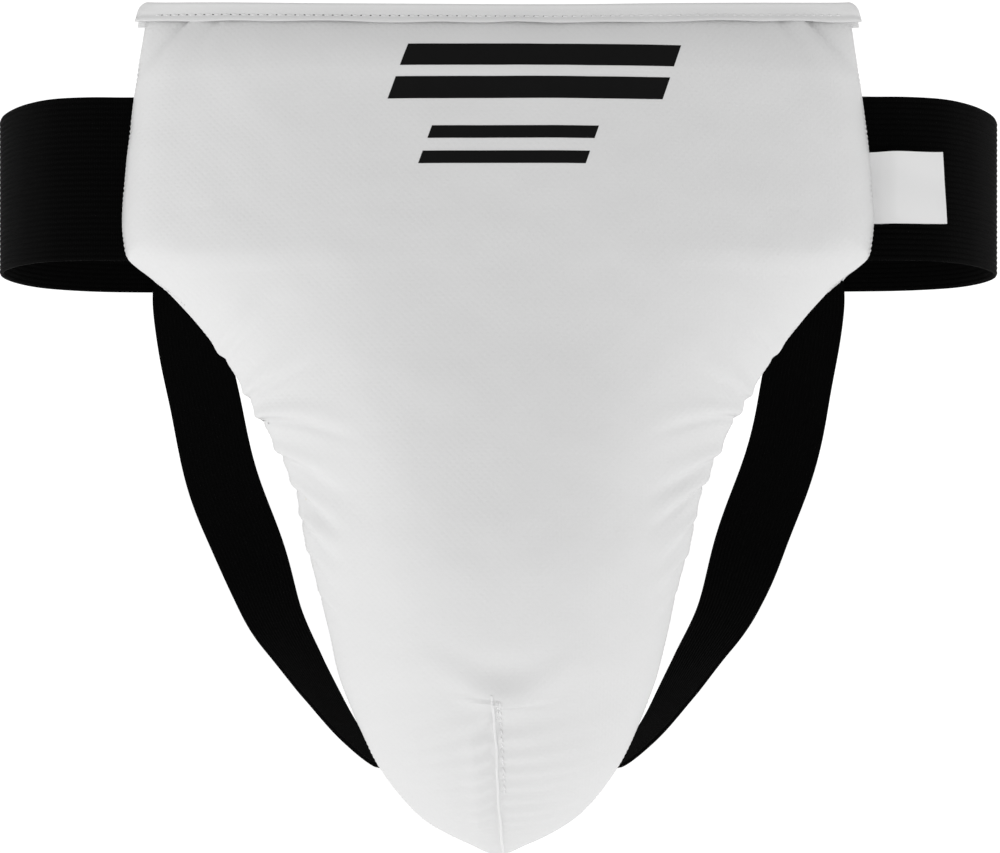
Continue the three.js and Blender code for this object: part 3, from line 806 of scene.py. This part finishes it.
def layer(name, rings, outer, inner, material, slot, node, sectors=160):
    """A padded layer of the guard between two depths given by (face, inset)."""
    xz = polar(rings, sectors)
    x, z = xz[..., 0], xz[..., 1]
    sides = [np.stack([x, face(x, z, inset), z], axis=2) for face, inset in (outer, inner)]
    count = x.size
    faces = sheet_faces(len(rings), sectors, closed=True)
    last = (len(rings) - 1) * sectors
    ring = np.arange(sectors)
    after = (ring + 1) % sectors
    faces += np.stack([last + ring, last + count + ring, last + count + after, last + after], axis=1).tolist()
    if rings[0] > 0:
        faces += np.stack([ring, after, count + after, count + ring], axis=1).tolist()
    points = np.vstack([s.reshape(-1, 3) for s in sides])
    return make(name, points, faces, material, "guard", slot, [node], sharp=50)


LINING_BACK = COVER + GAP
LINING_FRONT = LINING_BACK + LINING
LINER_BACK = LINING_FRONT + GAP
LINER_FRONT = LINER_BACK + LINER
CUP_BACK = LINER_FRONT + GAP
CUP_FRONT = CUP_BACK + CUP
FRONT_CLEARANCE = 3.4  # keeps the foam under the deepest fold of the cover


def build_layers():
    inside = [0, 0.12, 0.25, 0.38, 0.5, 0.62, 0.72, 0.82, 0.9, 0.96, 1]
    outside = [1.02, 1.06, 1.12, 1.2, 1.3, 1.4, 1.5, 1.6, 1.7, 1.78, 1.84]
    lining_rings = inside + outside + [1.88, 1.9]
    layer("back_panel", lining_rings, (back_y, LINING_BACK), (back_y, LINING_FRONT), LINING_FABRIC,
          "lining_fabric", "back_lining", sectors=220)
    layer("foam_filling", inside + outside, (front_y, FRONT_CLEARANCE), (back_y, CUP_FRONT + GAP), FOAM,
          "foam", "foam_pad")
    layer("cup", inside, (back_y, CUP_FRONT), (back_y, CUP_BACK), CUP_PLASTIC, "cup_plastic", "cup_shell")
    layer("cup_rim_ring", [1.03, 1.05, 1.09, 1.14, 1.19, 1.22], (back_y, CUP_FRONT), (back_y, CUP_BACK), FOAM,
          "foam", "cup_rim_cushion")
    layer("cup_inner_pad", inside + [1.03, 1.09, 1.15, 1.22], (back_y, LINER_FRONT), (back_y, LINER_BACK),
          FOAM, "foam", "cup_liner")


build_layers()

# ---------------------------------------------------------------- binding and white stitching

LIP_OVERHANG = 2.8
STRIP_CORNER = 3.0  # rounding of the strip's upper corners
STRIP_RISE = 1.1  # the strip stands this far over the cover's hem
STITCH_DROP = 4.3  # stitch line under the top of the strip
STITCH_PITCH = 3.4


def strip_section():
    """Section of the folded strip, lip to lip over the hem: (face, distance out, height over the hem)."""
    front = [
        (0.5, -6.3), (1.2, -6.8), (1.75, -6.75), (2.0, -6.3), (1.95, -5.5), (1.65, -STITCH_DROP - 0.5),
        (1.5, -STITCH_DROP), (1.7, 0.6 - STITCH_DROP), (2.15, -2.6), (2.3, -1.6), (2.15, -0.6),
    ]
    back = [(1.8, -0.6), (1.9, -1.8), (1.5, -STITCH_DROP), (1.9, -5.4), (1.9, -7.0), (1.2, -7.6), (0.5, -7.0)]
    return [("front", *p) for p in front], [("back", *p) for p in back]


def strip_faces(x, level):
    """Depth of the guard's front and back faces behind the strip, evened out along the hem."""
    inside = np.clip(x, 2 - TOP_HALF_WIDTH, TOP_HALF_WIDTH - 2)
    under_hem = np.minimum(level, GUARD_TOP - hem_drop(inside) - 0.8)
    places, _ = dropped(cover_tree, inside, under_hem)
    even = np.convolve(np.pad(places[:, 1], 12, "edge"), np.ones(25) / 25, "valid")
    return {"front": even, "back": back_y(inside, under_hem)}


def build_binding():
    """White strip folded over the hem, with its stitches, and dark grey dashes between them as painted shade in
    the needle holes.
    """
    columns = 280
    end = TOP_HALF_WIDTH + LIP_OVERHANG
    x = end * np.sin(np.linspace(-math.pi / 2, math.pi / 2, columns + 1))  # finer towards the rounded ends
    from_end = np.clip((end - np.abs(x)) / STRIP_CORNER, 0, 1)
    corner = STRIP_CORNER * (1 - np.sqrt(1 - (1 - from_end) ** 2))
    hem = GUARD_TOP + STRIP_RISE - hem_drop(x)
    waver = 0.25 * np.sin(x / 5.3 + 0.8 * np.sin(x / 17)) + 0.2 * np.sin(x / 12.1 + 1)
    front, back = strip_section()
    loops = []

    def lay(stations):
        for face, out, rise in stations:
            slack = waver * smooth((-rise - 3) / 4)
            level = hem + rise + 0.7 * slack - corner * smooth((rise + 7) / 6)
            sign = -1 if face == "front" else 1
            y = strip_faces(x, level)[face] + sign * (out + 0.3 * slack)
            loops.append(np.stack([x, y, level], axis=1))

    lay(front)
    top_front = loops[-1][:, 1].copy()
    lay(back[:1])
    top_back = loops.pop()[:, 1].copy()
    for share in np.linspace(0.08, 0.92, 9):
        lean = 0.5 - 0.5 * math.cos(math.pi * share)
        rise = -0.5 + 1.5 * math.sin(math.pi * share) ** 0.75
        y = top_front + (top_back - top_front) * lean
        loops.append(np.stack([x, y, hem + rise - corner], axis=1))
    lay(back)
    lay([("back", 0.4, -5.5), ("back", 0.4, -1.6), ("front", 0.4, -1.6), ("front", 0.4, -5.5)])
    loops = np.array(loops)
    flare = np.clip((np.abs(loops[..., 0]) - TOP_HALF_WIDTH + 6) / (6 + LIP_OVERHANG), 0, 1)
    loops[..., 0] += np.sign(loops[..., 0]) * flare * (0.22 * (hem - loops[..., 2]) - 0.4)
    sections, width = loops.shape[:2]
    piece = make("top_strip", loops.transpose(1, 0, 2), tube_faces(width, sections), BINDING_LEATHER, "guard",
                 "binding_leather", ["top_binding"], sharp=70)
    tree = tree_of(piece)
    run = np.linspace(-TOP_HALF_WIDTH + 3, TOP_HALF_WIDTH - 3, 240)
    level = GUARD_TOP + STRIP_RISE - hem_drop(run) - STITCH_DROP
    places, normals = dropped(tree, run, level, depth=-100)
    front_row = stitches(places, normals, STITCH_PITCH, radius=0.4, lift=0.0, gap=0.34)
    half = STITCH_PITCH / 2
    shifted = resample(places, 480)
    skip = int(round(half / lengths(shifted)[1]))
    # dark dashes half a stitch along from the stitches: painted shade of the needle holes
    hole_shades = stitches(shifted[skip:], np.tile((0, -1, 0), (len(shifted) - skip, 1)), STITCH_PITCH, radius=0.3,
                     lift=-0.15, gap=0.66)
    back_row = stitches(*dropped(tree, run, level, FORWARD, 100), STITCH_PITCH, radius=0.4, lift=0.0, gap=0.34)
    make("top_strip_stitches", *joined(front_row, back_row), WHITE_THREAD, "guard", "white_thread",
         ["top_binding_thread"])
    make("top_strip_hole_shades", *hole_shades, HOLE_SHADE, "guard")


def build_dart_edge():
    """Folded edge of the cover that stands up along the dart, in cover leather painted lighter as a painted
    highlight on the ridge.
    """
    z = np.linspace(DART_TOP[1] + 0.6, 1.5, 180)
    wander = 0.12 * np.sin(z / 2.3) + 0.2 * np.sin(z / 6.1)
    places, normals = dropped(cover_tree, dart_x(z) + wander, z)
    along = unit(np.gradient(places, axis=0))
    side = unit(np.cross(normals, along))
    swell = smooth(np.minimum(z - 1, DART_TOP[1] + 1.4 - z) / 2.5)
    sides = 10
    turn = np.linspace(0, 2 * math.pi, sides, endpoint=False)
    wide, tall = 0.5 * (0.5 + 0.5 * swell), 0.45 * (0.4 + 0.6 * swell)
    ring = side[:, None] * (wide[:, None] * np.cos(turn))[..., None]
    ring = ring + normals[:, None] * (tall[:, None] * np.sin(turn))[..., None]
    make("dart_edge", places[:, None] + ring, tube_faces(len(z), sides), RIDGE_HIGHLIGHT_LEATHER, "guard", "cover_leather")


def build_dart_stitches():
    """Topstitching beside the dart, doubled at its top."""
    start = DART_TOP[1] - 1
    rows = []
    for end, points, beside, pitch, radius, lift, slant in (
        (30, 60, 2.3, 2.9, 0.34, 0.16, 0.22),
        (start - 8, 12, 1.5, 2.6, 0.3, 0.12, -0.3),
    ):
        z = np.linspace(start, end, points)
        rows.append(stitches(*dropped(cover_tree, dart_x(z) + beside, z), pitch, radius, lift, slant))
    make("dart_stitches", *joined(*rows), WHITE_THREAD, "guard", "white_thread", ["dart_thread"])


def build_back_seam():
    """Stitching all round the strip that the cover turns over the back panel."""
    ring = polar([1.912], 700)[0]
    ring = np.vstack([ring, ring[:1]])
    places, normals = dropped(cover_tree, ring[:, 0], ring[:, 1], FORWARD, 100)
    found = places[:, 1] < 50  # a point just beside the cover's corner finds no surface
    row = stitches(places[found], normals[found], pitch=3.6, radius=0.36, lift=0.1)
    make("back_seam_stitches", *row, WHITE_THREAD, "guard", "white_thread", ["back_seam_thread"])


build_binding()
build_dart_edge()
build_dart_stitches()
build_back_seam()

# ---------------------------------------------------------------- printed mark

MARK_CENTRE = (8, 270)
# height from the centre, length and thickness of each bar
MARK_BARS = [(20, 96, 8), (8, 96, 8), (-8, 58, 4.5), (-17, 58, 4.5)]
MARK_SLANT = 0.35


def build_mark():
    """A plain mark of parallel bars with slanted ends."""
    parts = []
    for rise, length, thickness in MARK_BARS:
        columns, rows = int(length), 6
        v, u = even_grid(rows, columns, -0.5, 0.5)
        z = MARK_CENTRE[1] + rise + v * thickness
        x = MARK_CENTRE[0] + u * length + MARK_SLANT * (z - MARK_CENTRE[1])
        places, normals = dropped(cover_tree, x.ravel(), z.ravel())
        parts.append((places + normals * 0.06, grid_faces(rows + 1, columns + 1)))
    make("front_print", *joined(*parts), PRINT, "guard", merge=0)


build_mark()

# ---------------------------------------------------------------- elastic tapes


def across_tape(width, thickness, pitch, depth, per_rib=4):
    """Section of a ribbed tape: places across it and half thickness there."""
    ribs = int(round(width / pitch))
    s = np.linspace(-width / 2, width / 2, ribs * per_rib + 1)
    groove = depth * (0.5 + 0.5 * np.cos(2 * math.pi * ribs * (s / width + 0.5))) ** 1.5
    from_edge = width / 2 - np.abs(s)
    selvedge = smooth(from_edge / 0.9)
    half = (thickness / 2 - groove * smooth(from_edge / 2)) * (0.45 + 0.55 * selvedge)
    return s, half


def tape(line, width_dir, face_dir, width, thickness, pitch, depth, start=0.0):
    """Points, faces and UVs of a ribbed tape along a line."""
    s, half = across_tape(width, thickness, pitch, depth)
    loop_s = np.concatenate([s, s[::-1]])
    loop_h = np.concatenate([half, -half[::-1]])
    points = line[:, None] + width_dir[:, None] * loop_s[None, :, None]
    points = points + face_dir[:, None] * loop_h[None, :, None]
    n, m = len(line), len(loop_s)
    faces = grid_faces(n, m, closed=True)
    k = np.arange(len(s) - 1)
    for base, turned in ((0, True), ((n - 1) * m, False)):
        cap = np.stack([k, k + 1, m - 2 - k, m - 1 - k], axis=1) + base
        faces += (cap[:, ::-1] if turned else cap).tolist()
    along = np.broadcast_to((lengths(line) + start)[:, None], (n, m))
    uv = np.stack([along, np.broadcast_to(loop_s, (n, m))], axis=2)
    return points.reshape(-1, 3), faces, uv


def tape_piece(name, parts, material, slot, replaces):
    points, faces, uv = parts
    return make(name, points, faces, material, None, slot, replaces, merge=0, sharp=40, uv=uv)


HIP = [
    (112, -44.6), (124, -44.2), (137, -43.2), (150, -43), (164, -39), (175.5, -29.5), (185, -17), (192.3, -3),
    (196.2, 13), (195, 35), (187.5, 55.5), (172, 70), (150, 75.8), (124, 77.6), (106.3, 78),
]
CLOSURE_END = -30
FRONT_RISE, REAR_SAG = 0.8, 1.6


def band_plan(offset):
    """Plan of one half of the waistband, from behind the guard to its free end."""
    tail = [(92, 78 + 0.3 * offset), (60, 78 + offset), (45, 78 + offset), (CLOSURE_END, 78 + offset)]
    plan = spline(HIP + tail, 230)
    return plan + (0, SHIFT_Y)


def plan_normals(plan):
    along = unit(np.gradient(plan, axis=0))
    return np.stack([along[:, 1], -along[:, 0]], axis=1)


def band_line(offset, side):
    """Line, width directions and outward face directions of a half waistband."""
    plan = band_plan(offset)
    normal = plan_normals(plan)
    line = np.stack([side * plan[:, 0], plan[:, 1], np.full(len(plan), BAND_Z)], axis=1)
    s = lengths(line)
    # the ring sags a little from the front to the rear, and the elastic isn't perfectly even
    line[:, 2] += FRONT_RISE - (FRONT_RISE + REAR_SAG) * smooth((plan[:, 1] - plan[0, 1]) / 100)
    line[:, 2] += 0.25 * np.sin(s / 31 + side)
    face = np.stack([side * normal[:, 0], normal[:, 1], np.zeros(len(plan))], axis=1)
    width = np.tile((0.0, 0.0, 1.0), (len(plan), 1))
    return line, width, face


def build_bands():
    for name, side, tail in (("right", 1, "outer_tail"), ("left", -1, "inner_tail")):
        line, width, face = band_line(side * CLOSURE_OFFSET, side)
        parts = tape(line, width, face, BAND_HEIGHT, BAND_THICKNESS, 2.0, 0.32)
        nodes = [name + "_waist_band", name + "_band_tail"]
        piece = tape_piece(name + "_waistband", parts, WAIST_ELASTIC, "waist_elastic", nodes)
        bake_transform(piece)


def box_line(x0, x1, z0, z1, step=1.0):
    """Corners of a rectangle joined as an even line of (x, z)."""
    corners = np.array([(x0, z0), (x1, z0), (x1, z1), (x0, z1), (x0, z0)], float)
    return resample(corners, int(lengths(corners)[-1] / step))


def box_and_cross(x0, x1, z0, z1, steps):
    """The lines of a sewn box: its four sides as one, then its two diagonals."""
    diagonals = [(x0, z0), (x1, z1)], [(x1, z0), (x0, z1)]
    return [box_line(x0, x1, z0, z1)] + [resample(np.array(ends, float), steps) for ends in diagonals]


def sew(name, lines, tree, depth, towards, material, slot, node, body, pitch=3.2, radius=0.34):
    """Stitching along lines of (x, z), dropped on a surface from a starting depth."""
    rows = [stitches(*dropped(tree, *line.T, towards, depth), pitch, radius, lift=0.1) for line in lines]
    make(name, *joined(*rows), material, body, slot, [node])


def build_band_sewing():
    """Box stitches that hold the bands on the guard's back, and the stitches of the closure's tapes."""
    for name, side in (("right", 1), ("left", -1)):
        tree = tree_of(bpy.data.objects[name + "_waistband"])
        low, high = BAND_Z - 25, BAND_Z + 25
        box, diagonal, _ = box_and_cross(side * 114, side * 130, low, high, 50)
        sew(name + "_band_stitches", [box, diagonal], tree, SHIFT_Y, FORWARD, BLACK_THREAD, "black_thread",
            name + "_band_thread", "guard")
    half, rise = 24, 23
    box = box_line(-half, half, BAND_Z - rise, BAND_Z + rise)
    tree = tree_of(bpy.data.objects["right_waistband"])
    sew("hook_tape_stitches", [box], tree, 150, FORWARD, BLACK_THREAD, "black_thread", "hook_patch_thread",
        "outer_tail", pitch=2.8)
    tree = tree_of(bpy.data.objects["left_waistband"])
    sew("loop_tape_stitches", [box], tree, 30, BACKWARD, BLACK_THREAD, "black_thread", "loop_patch_thread",
        "inner_tail", pitch=2.8)


build_bands()
build_band_sewing()

# ---------------------------------------------------------------- closure tapes

PATCH_HALF = 26
PATCH_RISE = 25
PATCH_BASE = 0.6
PATCH_OFFSET = 1.35  # from the middle between the tails to the far side of either tape


def patch_base(y0, y1):
    """A thin plate with rounded corners between two depths."""
    radius, steps = 4, 6
    half, rise = PATCH_HALF - radius, PATCH_RISE - radius
    loop = []
    for x, z, turn in ((half, rise, 0), (-half, rise, 90), (-half, -rise, 180), (half, -rise, 270)):
        for k in range(steps + 1):
            a = math.radians(turn + 90 * k / steps)
            loop.append((x + radius * math.cos(a), z + radius * math.sin(a)))
    loop = np.array(loop)
    edge = 0.97
    rings = [(y0, edge), (y0 + 0.25 * (y1 - y0), 1), (y1 - 0.25 * (y1 - y0), 1), (y1, edge)]
    n = len(loop)
    points = np.vstack([
        np.stack([loop[:, 0] * k, np.full(n, y), BAND_Z + loop[:, 1] * k], axis=1) for y, k in rings
    ])
    faces = grid_faces(4, n, closed=True) + [list(range(n)), list(range(3 * n, 4 * n))[::-1]]
    return points, faces


def tuft(path, radius, sides=4):
    """A small bent thread along a path of points."""
    path = np.array(path, float)
    along = unit(np.gradient(path, axis=0))
    side = unit(np.cross(along, (0.0, 0.0, 1.0)) + (1e-6, 0, 0))
    up = np.cross(side, along)
    a = np.linspace(0, 2 * math.pi, sides, endpoint=False)
    ring = side[:, None] * np.cos(a)[None, :, None] + up[:, None] * np.sin(a)[None, :, None]
    return (path[:, None] + radius * ring).reshape(-1, 3), tube_faces(len(path), sides)


def build_closure():
    rng = np.random.default_rng(11)
    inner = HINGE_Y + PATCH_OFFSET - PATCH_BASE
    hooks = [patch_base(inner, HINGE_Y + PATCH_OFFSET)]
    template = [(0, 0), (0.05, -0.28), (0.25, -0.5), (0.45, -0.42)]
    for i, x in enumerate(np.arange(-PATCH_HALF + 2.4, PATCH_HALF - 2, 1.9)):
        for z in np.arange(-PATCH_RISE + 2.4, PATCH_RISE - 2, 1.9):
            way = -1 if i % 2 else 1
            hooks.append(tuft([(x + way * a, inner + b, BAND_Z + z) for a, b in template], 0.11))
    make("hook_tape_patch", *joined(*hooks), HOOK_TAPE, "outer_tail", "hook_tape", ["hook_patch"], merge=0,
         sharp=40)
    back = HINGE_Y - PATCH_OFFSET
    loops = [patch_base(back, back + PATCH_BASE)]
    for x in np.arange(-PATCH_HALF + 2, PATCH_HALF - 1.8, 1.5):
        for z in np.arange(-PATCH_RISE + 2, PATCH_RISE - 1.8, 1.5):
            a = rng.uniform(0, math.pi)
            size = rng.uniform(0.6, 0.9)
            px, pz = x + rng.uniform(-0.4, 0.4), BAND_Z + z + rng.uniform(-0.4, 0.4)
            c, s = math.cos(a) * size, math.sin(a) * size
            arch = ((-1, -0.05), (-0.5, 0.4), (0.5, 0.4), (1, -0.05))
            path = [(px + k * c, back + PATCH_BASE + rise, pz + k * s) for k, rise in arch]
            loops.append(tuft(path, 0.07, 3))
    make("loop_tape_patch", *joined(*loops), LOOP_TAPE, "inner_tail", "loop_tape", ["loop_patch"], merge=0,
         sharp=40)


build_closure()

# ---------------------------------------------------------------- leg straps

SEWN_END = [(133.4, 77.5, 243.5, 12), (133.4, 77.4, 232, 12), (133.4, 77.3, 221, 12)]
STRAP = [
    (133.2, 76.6, 211.5, 12), (127, 73, 176, 10), (117, 62, 142, 12), (105.4, 48.6, 113.5, 25),
    (92.2, 31, 86, 51), (80, 15.5, 68.5, 65), (69, 2.5, 54.5, 76), (56.7, -5, 40.5, 85), (43.5, -5, 29.5, 92),
    (31.5, -10.4, 25.5, 117), (25, -23, 30, 158), (18, -38, 37, 186),
]
ANCHORED = [(13.4, -47.3, 37.4, 157), (6, -49.4, 37.4, 157)]
STRAP_STEPS = 240
STRAP_SPLIT = 0.42  # share of the strap's length at which its two pieces meet


def strap_line(side):
    """Line, width directions and face directions of a leg strap, sewn ends included."""
    stations = np.array(SEWN_END + STRAP + ANCHORED, float)
    line = spline(stations[:, :3], STRAP_STEPS)
    fine = spline(stations[:, :3], 4000)
    where = [int(np.argmin(np.linalg.norm(fine - p, axis=1))) / 4000 for p in stations[:, :3]]
    turn = np.radians(profile(*zip(where, stations[:, 3]))(np.linspace(0, 1, STRAP_STEPS + 1)))
    along = unit(np.gradient(line, axis=0))
    across = unit(np.stack([-along[:, 2], np.zeros(len(along)), along[:, 0]], axis=1))
    forward = np.cross(along, across)
    width = across * np.cos(turn)[:, None] + forward * np.sin(turn)[:, None]
    face = np.cross(along, width)
    line[:, 1] += SHIFT_Y
    flip = np.array([side, 1, 1])
    return line * flip, width * flip, face * flip


def build_straps():
    for name, side in (("right", 1), ("left", -1)):
        line, width, face = strap_line(side)
        s = lengths(line)
        sway = 0.6 * np.sin(s / 13 + 0.6 * side) * smooth((s - 40) / 40) * smooth((s[-1] - 45 - s) / 30)
        line = line + width * sway[:, None]
        cut = int(STRAP_SPLIT * STRAP_STEPS)
        section = (STRAP_WIDTH, STRAP_THICKNESS, 1.5, 0.22)
        upper = tape(line[: cut + 1], width[: cut + 1], face[: cut + 1], *section)
        lower = tape(line[cut:], width[cut:], face[cut:], *section, s[cut])
        high = tape_piece(name + "_strap_upper", upper, STRAP_ELASTIC, "strap_elastic",
                          [name + "_leg_strap_end", name + "_leg_strap"])
        low = tape_piece(name + "_strap_lower", lower, STRAP_ELASTIC, "strap_elastic", [name + "_leg_strap"])
        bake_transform(high)
        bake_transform(low)


def build_strap_sewing():
    for name, side in (("right", 1), ("left", -1)):
        tree = tree_of(bpy.data.objects[name + "_strap_upper"])
        low, high = BAND_Z - BAND_HEIGHT / 2 + 3, BAND_Z - BAND_HEIGHT / 2 + 21
        lines = box_and_cross(side * 121.5, side * 145, low, high, 30)
        sew(name + "_strap_stitches", lines, tree, 150, FORWARD, BLACK_THREAD, "black_thread",
            name + "_leg_strap_thread", "guard", pitch=2.9)


def build_anchor():
    """White patch over the straps' sewn lower ends, on the back of the guard's tip."""
    columns, rows, thick = 28, 34, 1.4
    half, low, high, radius = 14.0, 20.0, 54.0, 3.5
    v, u = even_grid(rows, columns, -1, 1)
    pinch = np.abs(u) ** 8 * np.abs(v) ** 8
    x = u * half * (1 - 0.3 * radius / half * pinch)
    z = (low + high) / 2 + v * (high - low) / 2 * (1 - 0.3 * radius / half * pinch)
    y = SHIFT_Y + seam_y(z) - back_crown(z) * crown_share(x, z) + back_roll(z) + 2
    rim = np.minimum((1 - np.abs(u)) * half, (1 - np.abs(v)) * (high - low) / 2)
    dome = 0.5 * smooth(rim / 4)
    dent = 0.35 * bell((rim - 3) / 0.9)
    outer = np.stack([x, y + thick * (0.35 + 0.65 * smooth(rim / 1.0)) + dome - dent, z], axis=2)
    inner = np.stack([x, y + 0.05, z], axis=2)
    piece = make("strap_anchor_patch", *slab(outer, inner), COVER_LEATHER, "guard", "cover_leather",
                 ["leg_strap_anchor"], sharp=50)
    lines = box_and_cross(3 - half, half - 3, low + 3, high - 3, 40)
    sew("strap_anchor_stitches", lines, tree_of(piece), 50, FORWARD, WHITE_THREAD, "white_thread",
        "leg_strap_anchor_thread", "guard", pitch=2.8)


build_straps()
build_strap_sewing()
build_anchor()

# ---------------------------------------------------------------- side tab


def build_tab():
    """Glossy flag sewn into the right side seam; it dips behind the edge and lies over the band."""
    (x0, y0, z0), (x1, y1, z1) = (np.array(c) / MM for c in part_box("side_tab"))
    columns, rows, thick = 60, 26, 1.1
    root = x0 - 4.0
    slant = 1.5
    v, u = even_grid(rows, columns, 0, 1)
    x = root + (x1 - slant * v - root) * u
    z = z0 + (z1 - z0) * v + 0.5 * (u - 0.3) * (v - 0.5) + 0.25 * np.sin(5 * u) * (v > 0.5)
    middle = (y0 + y1) / 2
    # it comes out of the seam low, rises over the band and settles again towards its free end
    y = middle + 1.1 - 2.3 * smooth((x - x0 + 0.5) / 8.5) + 0.6 * smooth((x - x0 - 9) / 13)
    y = y + 0.12 * np.sin(9 * v + 3 * u) - 0.35 * bell((x - x1) / 1.5)
    outer = np.stack([x, y - thick / 2, z], axis=2)
    inner = np.stack([x, y + thick / 2, z], axis=2)
    piece = make("side_flag", *slab(outer, inner), TAB_LEATHER, None, "tab_leather", ["side_tab"], sharp=50)
    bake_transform(piece)


build_tab()

# ---------------------------------------------------------------- studio

CAMERA = Vector((0.0006, -0.739, 0.155))
LENS = 69.3
SHIFT = 0.0135


def build_studio():
    scene = bpy.context.scene
    scene.view_settings.view_transform = "Standard"
    world = bpy.data.worlds.new("studio")
    scene.world = world
    world.use_nodes = True
    tree = world.node_tree
    background = tree.nodes["Background"]
    place = tree.nodes.new("ShaderNodeTexCoord")
    split = tree.nodes.new("ShaderNodeSeparateXYZ")
    tree.links.new(place.outputs["Generated"], split.inputs[0])
    depth = tree.nodes.new("ShaderNodeMapRange")
    depth.inputs["From Min"].default_value = -1
    depth.inputs["To Min"].default_value = 0.62
    depth.inputs["To Max"].default_value = 1.17
    tree.links.new(split.outputs["Y"], depth.inputs["Value"])
    # a little less light comes from above than from the sides
    shade = tree.nodes.new("ShaderNodeMath")
    shade.operation = "MULTIPLY_ADD"
    shade.inputs[1].default_value = -0.25
    tree.links.new(split.outputs["Z"], shade.inputs[0])
    tree.links.new(depth.outputs[0], shade.inputs[2])
    tree.links.new(shade.outputs[0], background.inputs["Strength"])
    background.inputs["Color"].default_value = (1, 1, 1, 1)

    floor_mesh = bpy.data.meshes.new("floor")
    far, level = 40.0, -0.25
    corners = [(-far, -far, level), (far, -far, level), (far, far, level), (-far, far, level)]
    floor_mesh.from_pydata(corners, [], [(0, 1, 2, 3)])
    floor = bpy.data.objects.new("floor", floor_mesh)
    scene.collection.objects.link(floor)
    paint = Nodes("floor_paint", (0.8, 0.8, 0.8), 0.9)
    paint.set(Emission_Color=(1, 1, 1, 1), Emission_Strength=0.46, Specular_IOR_Level=0.0)
    floor_mesh.materials.append(paint.material)

    aim = Vector((0, -0.03, 0.16))
    for name, place, size, power in (
        ("key", (-0.9, -0.9, 0.35), 0.9, 1.4),
        ("low", (0.0, -0.62, -0.23), 0.6, 0.6),
        ("left", (-1.3, -0.28, -0.12), 1.0, 4.0),
        ("right", (1.3, -0.22, -0.15), 1.0, 4.4),
    ):
        lamp = bpy.data.lights.new(name, "AREA")
        lamp.energy = power
        lamp.size = size
        rig = bpy.data.objects.new(name, lamp)
        rig.location = place
        rig.rotation_euler = (aim - rig.location).to_track_quat("-Z", "Y").to_euler()
        scene.collection.objects.link(rig)

    lens = bpy.data.cameras.new("camera")
    lens.lens = LENS
    lens.shift_y = SHIFT
    camera = bpy.data.objects.new("camera", lens)
    camera.location = CAMERA
    camera.rotation_euler = (math.pi / 2, 0, 0)
    scene.collection.objects.link(camera)
    scene.camera = camera


build_studio()
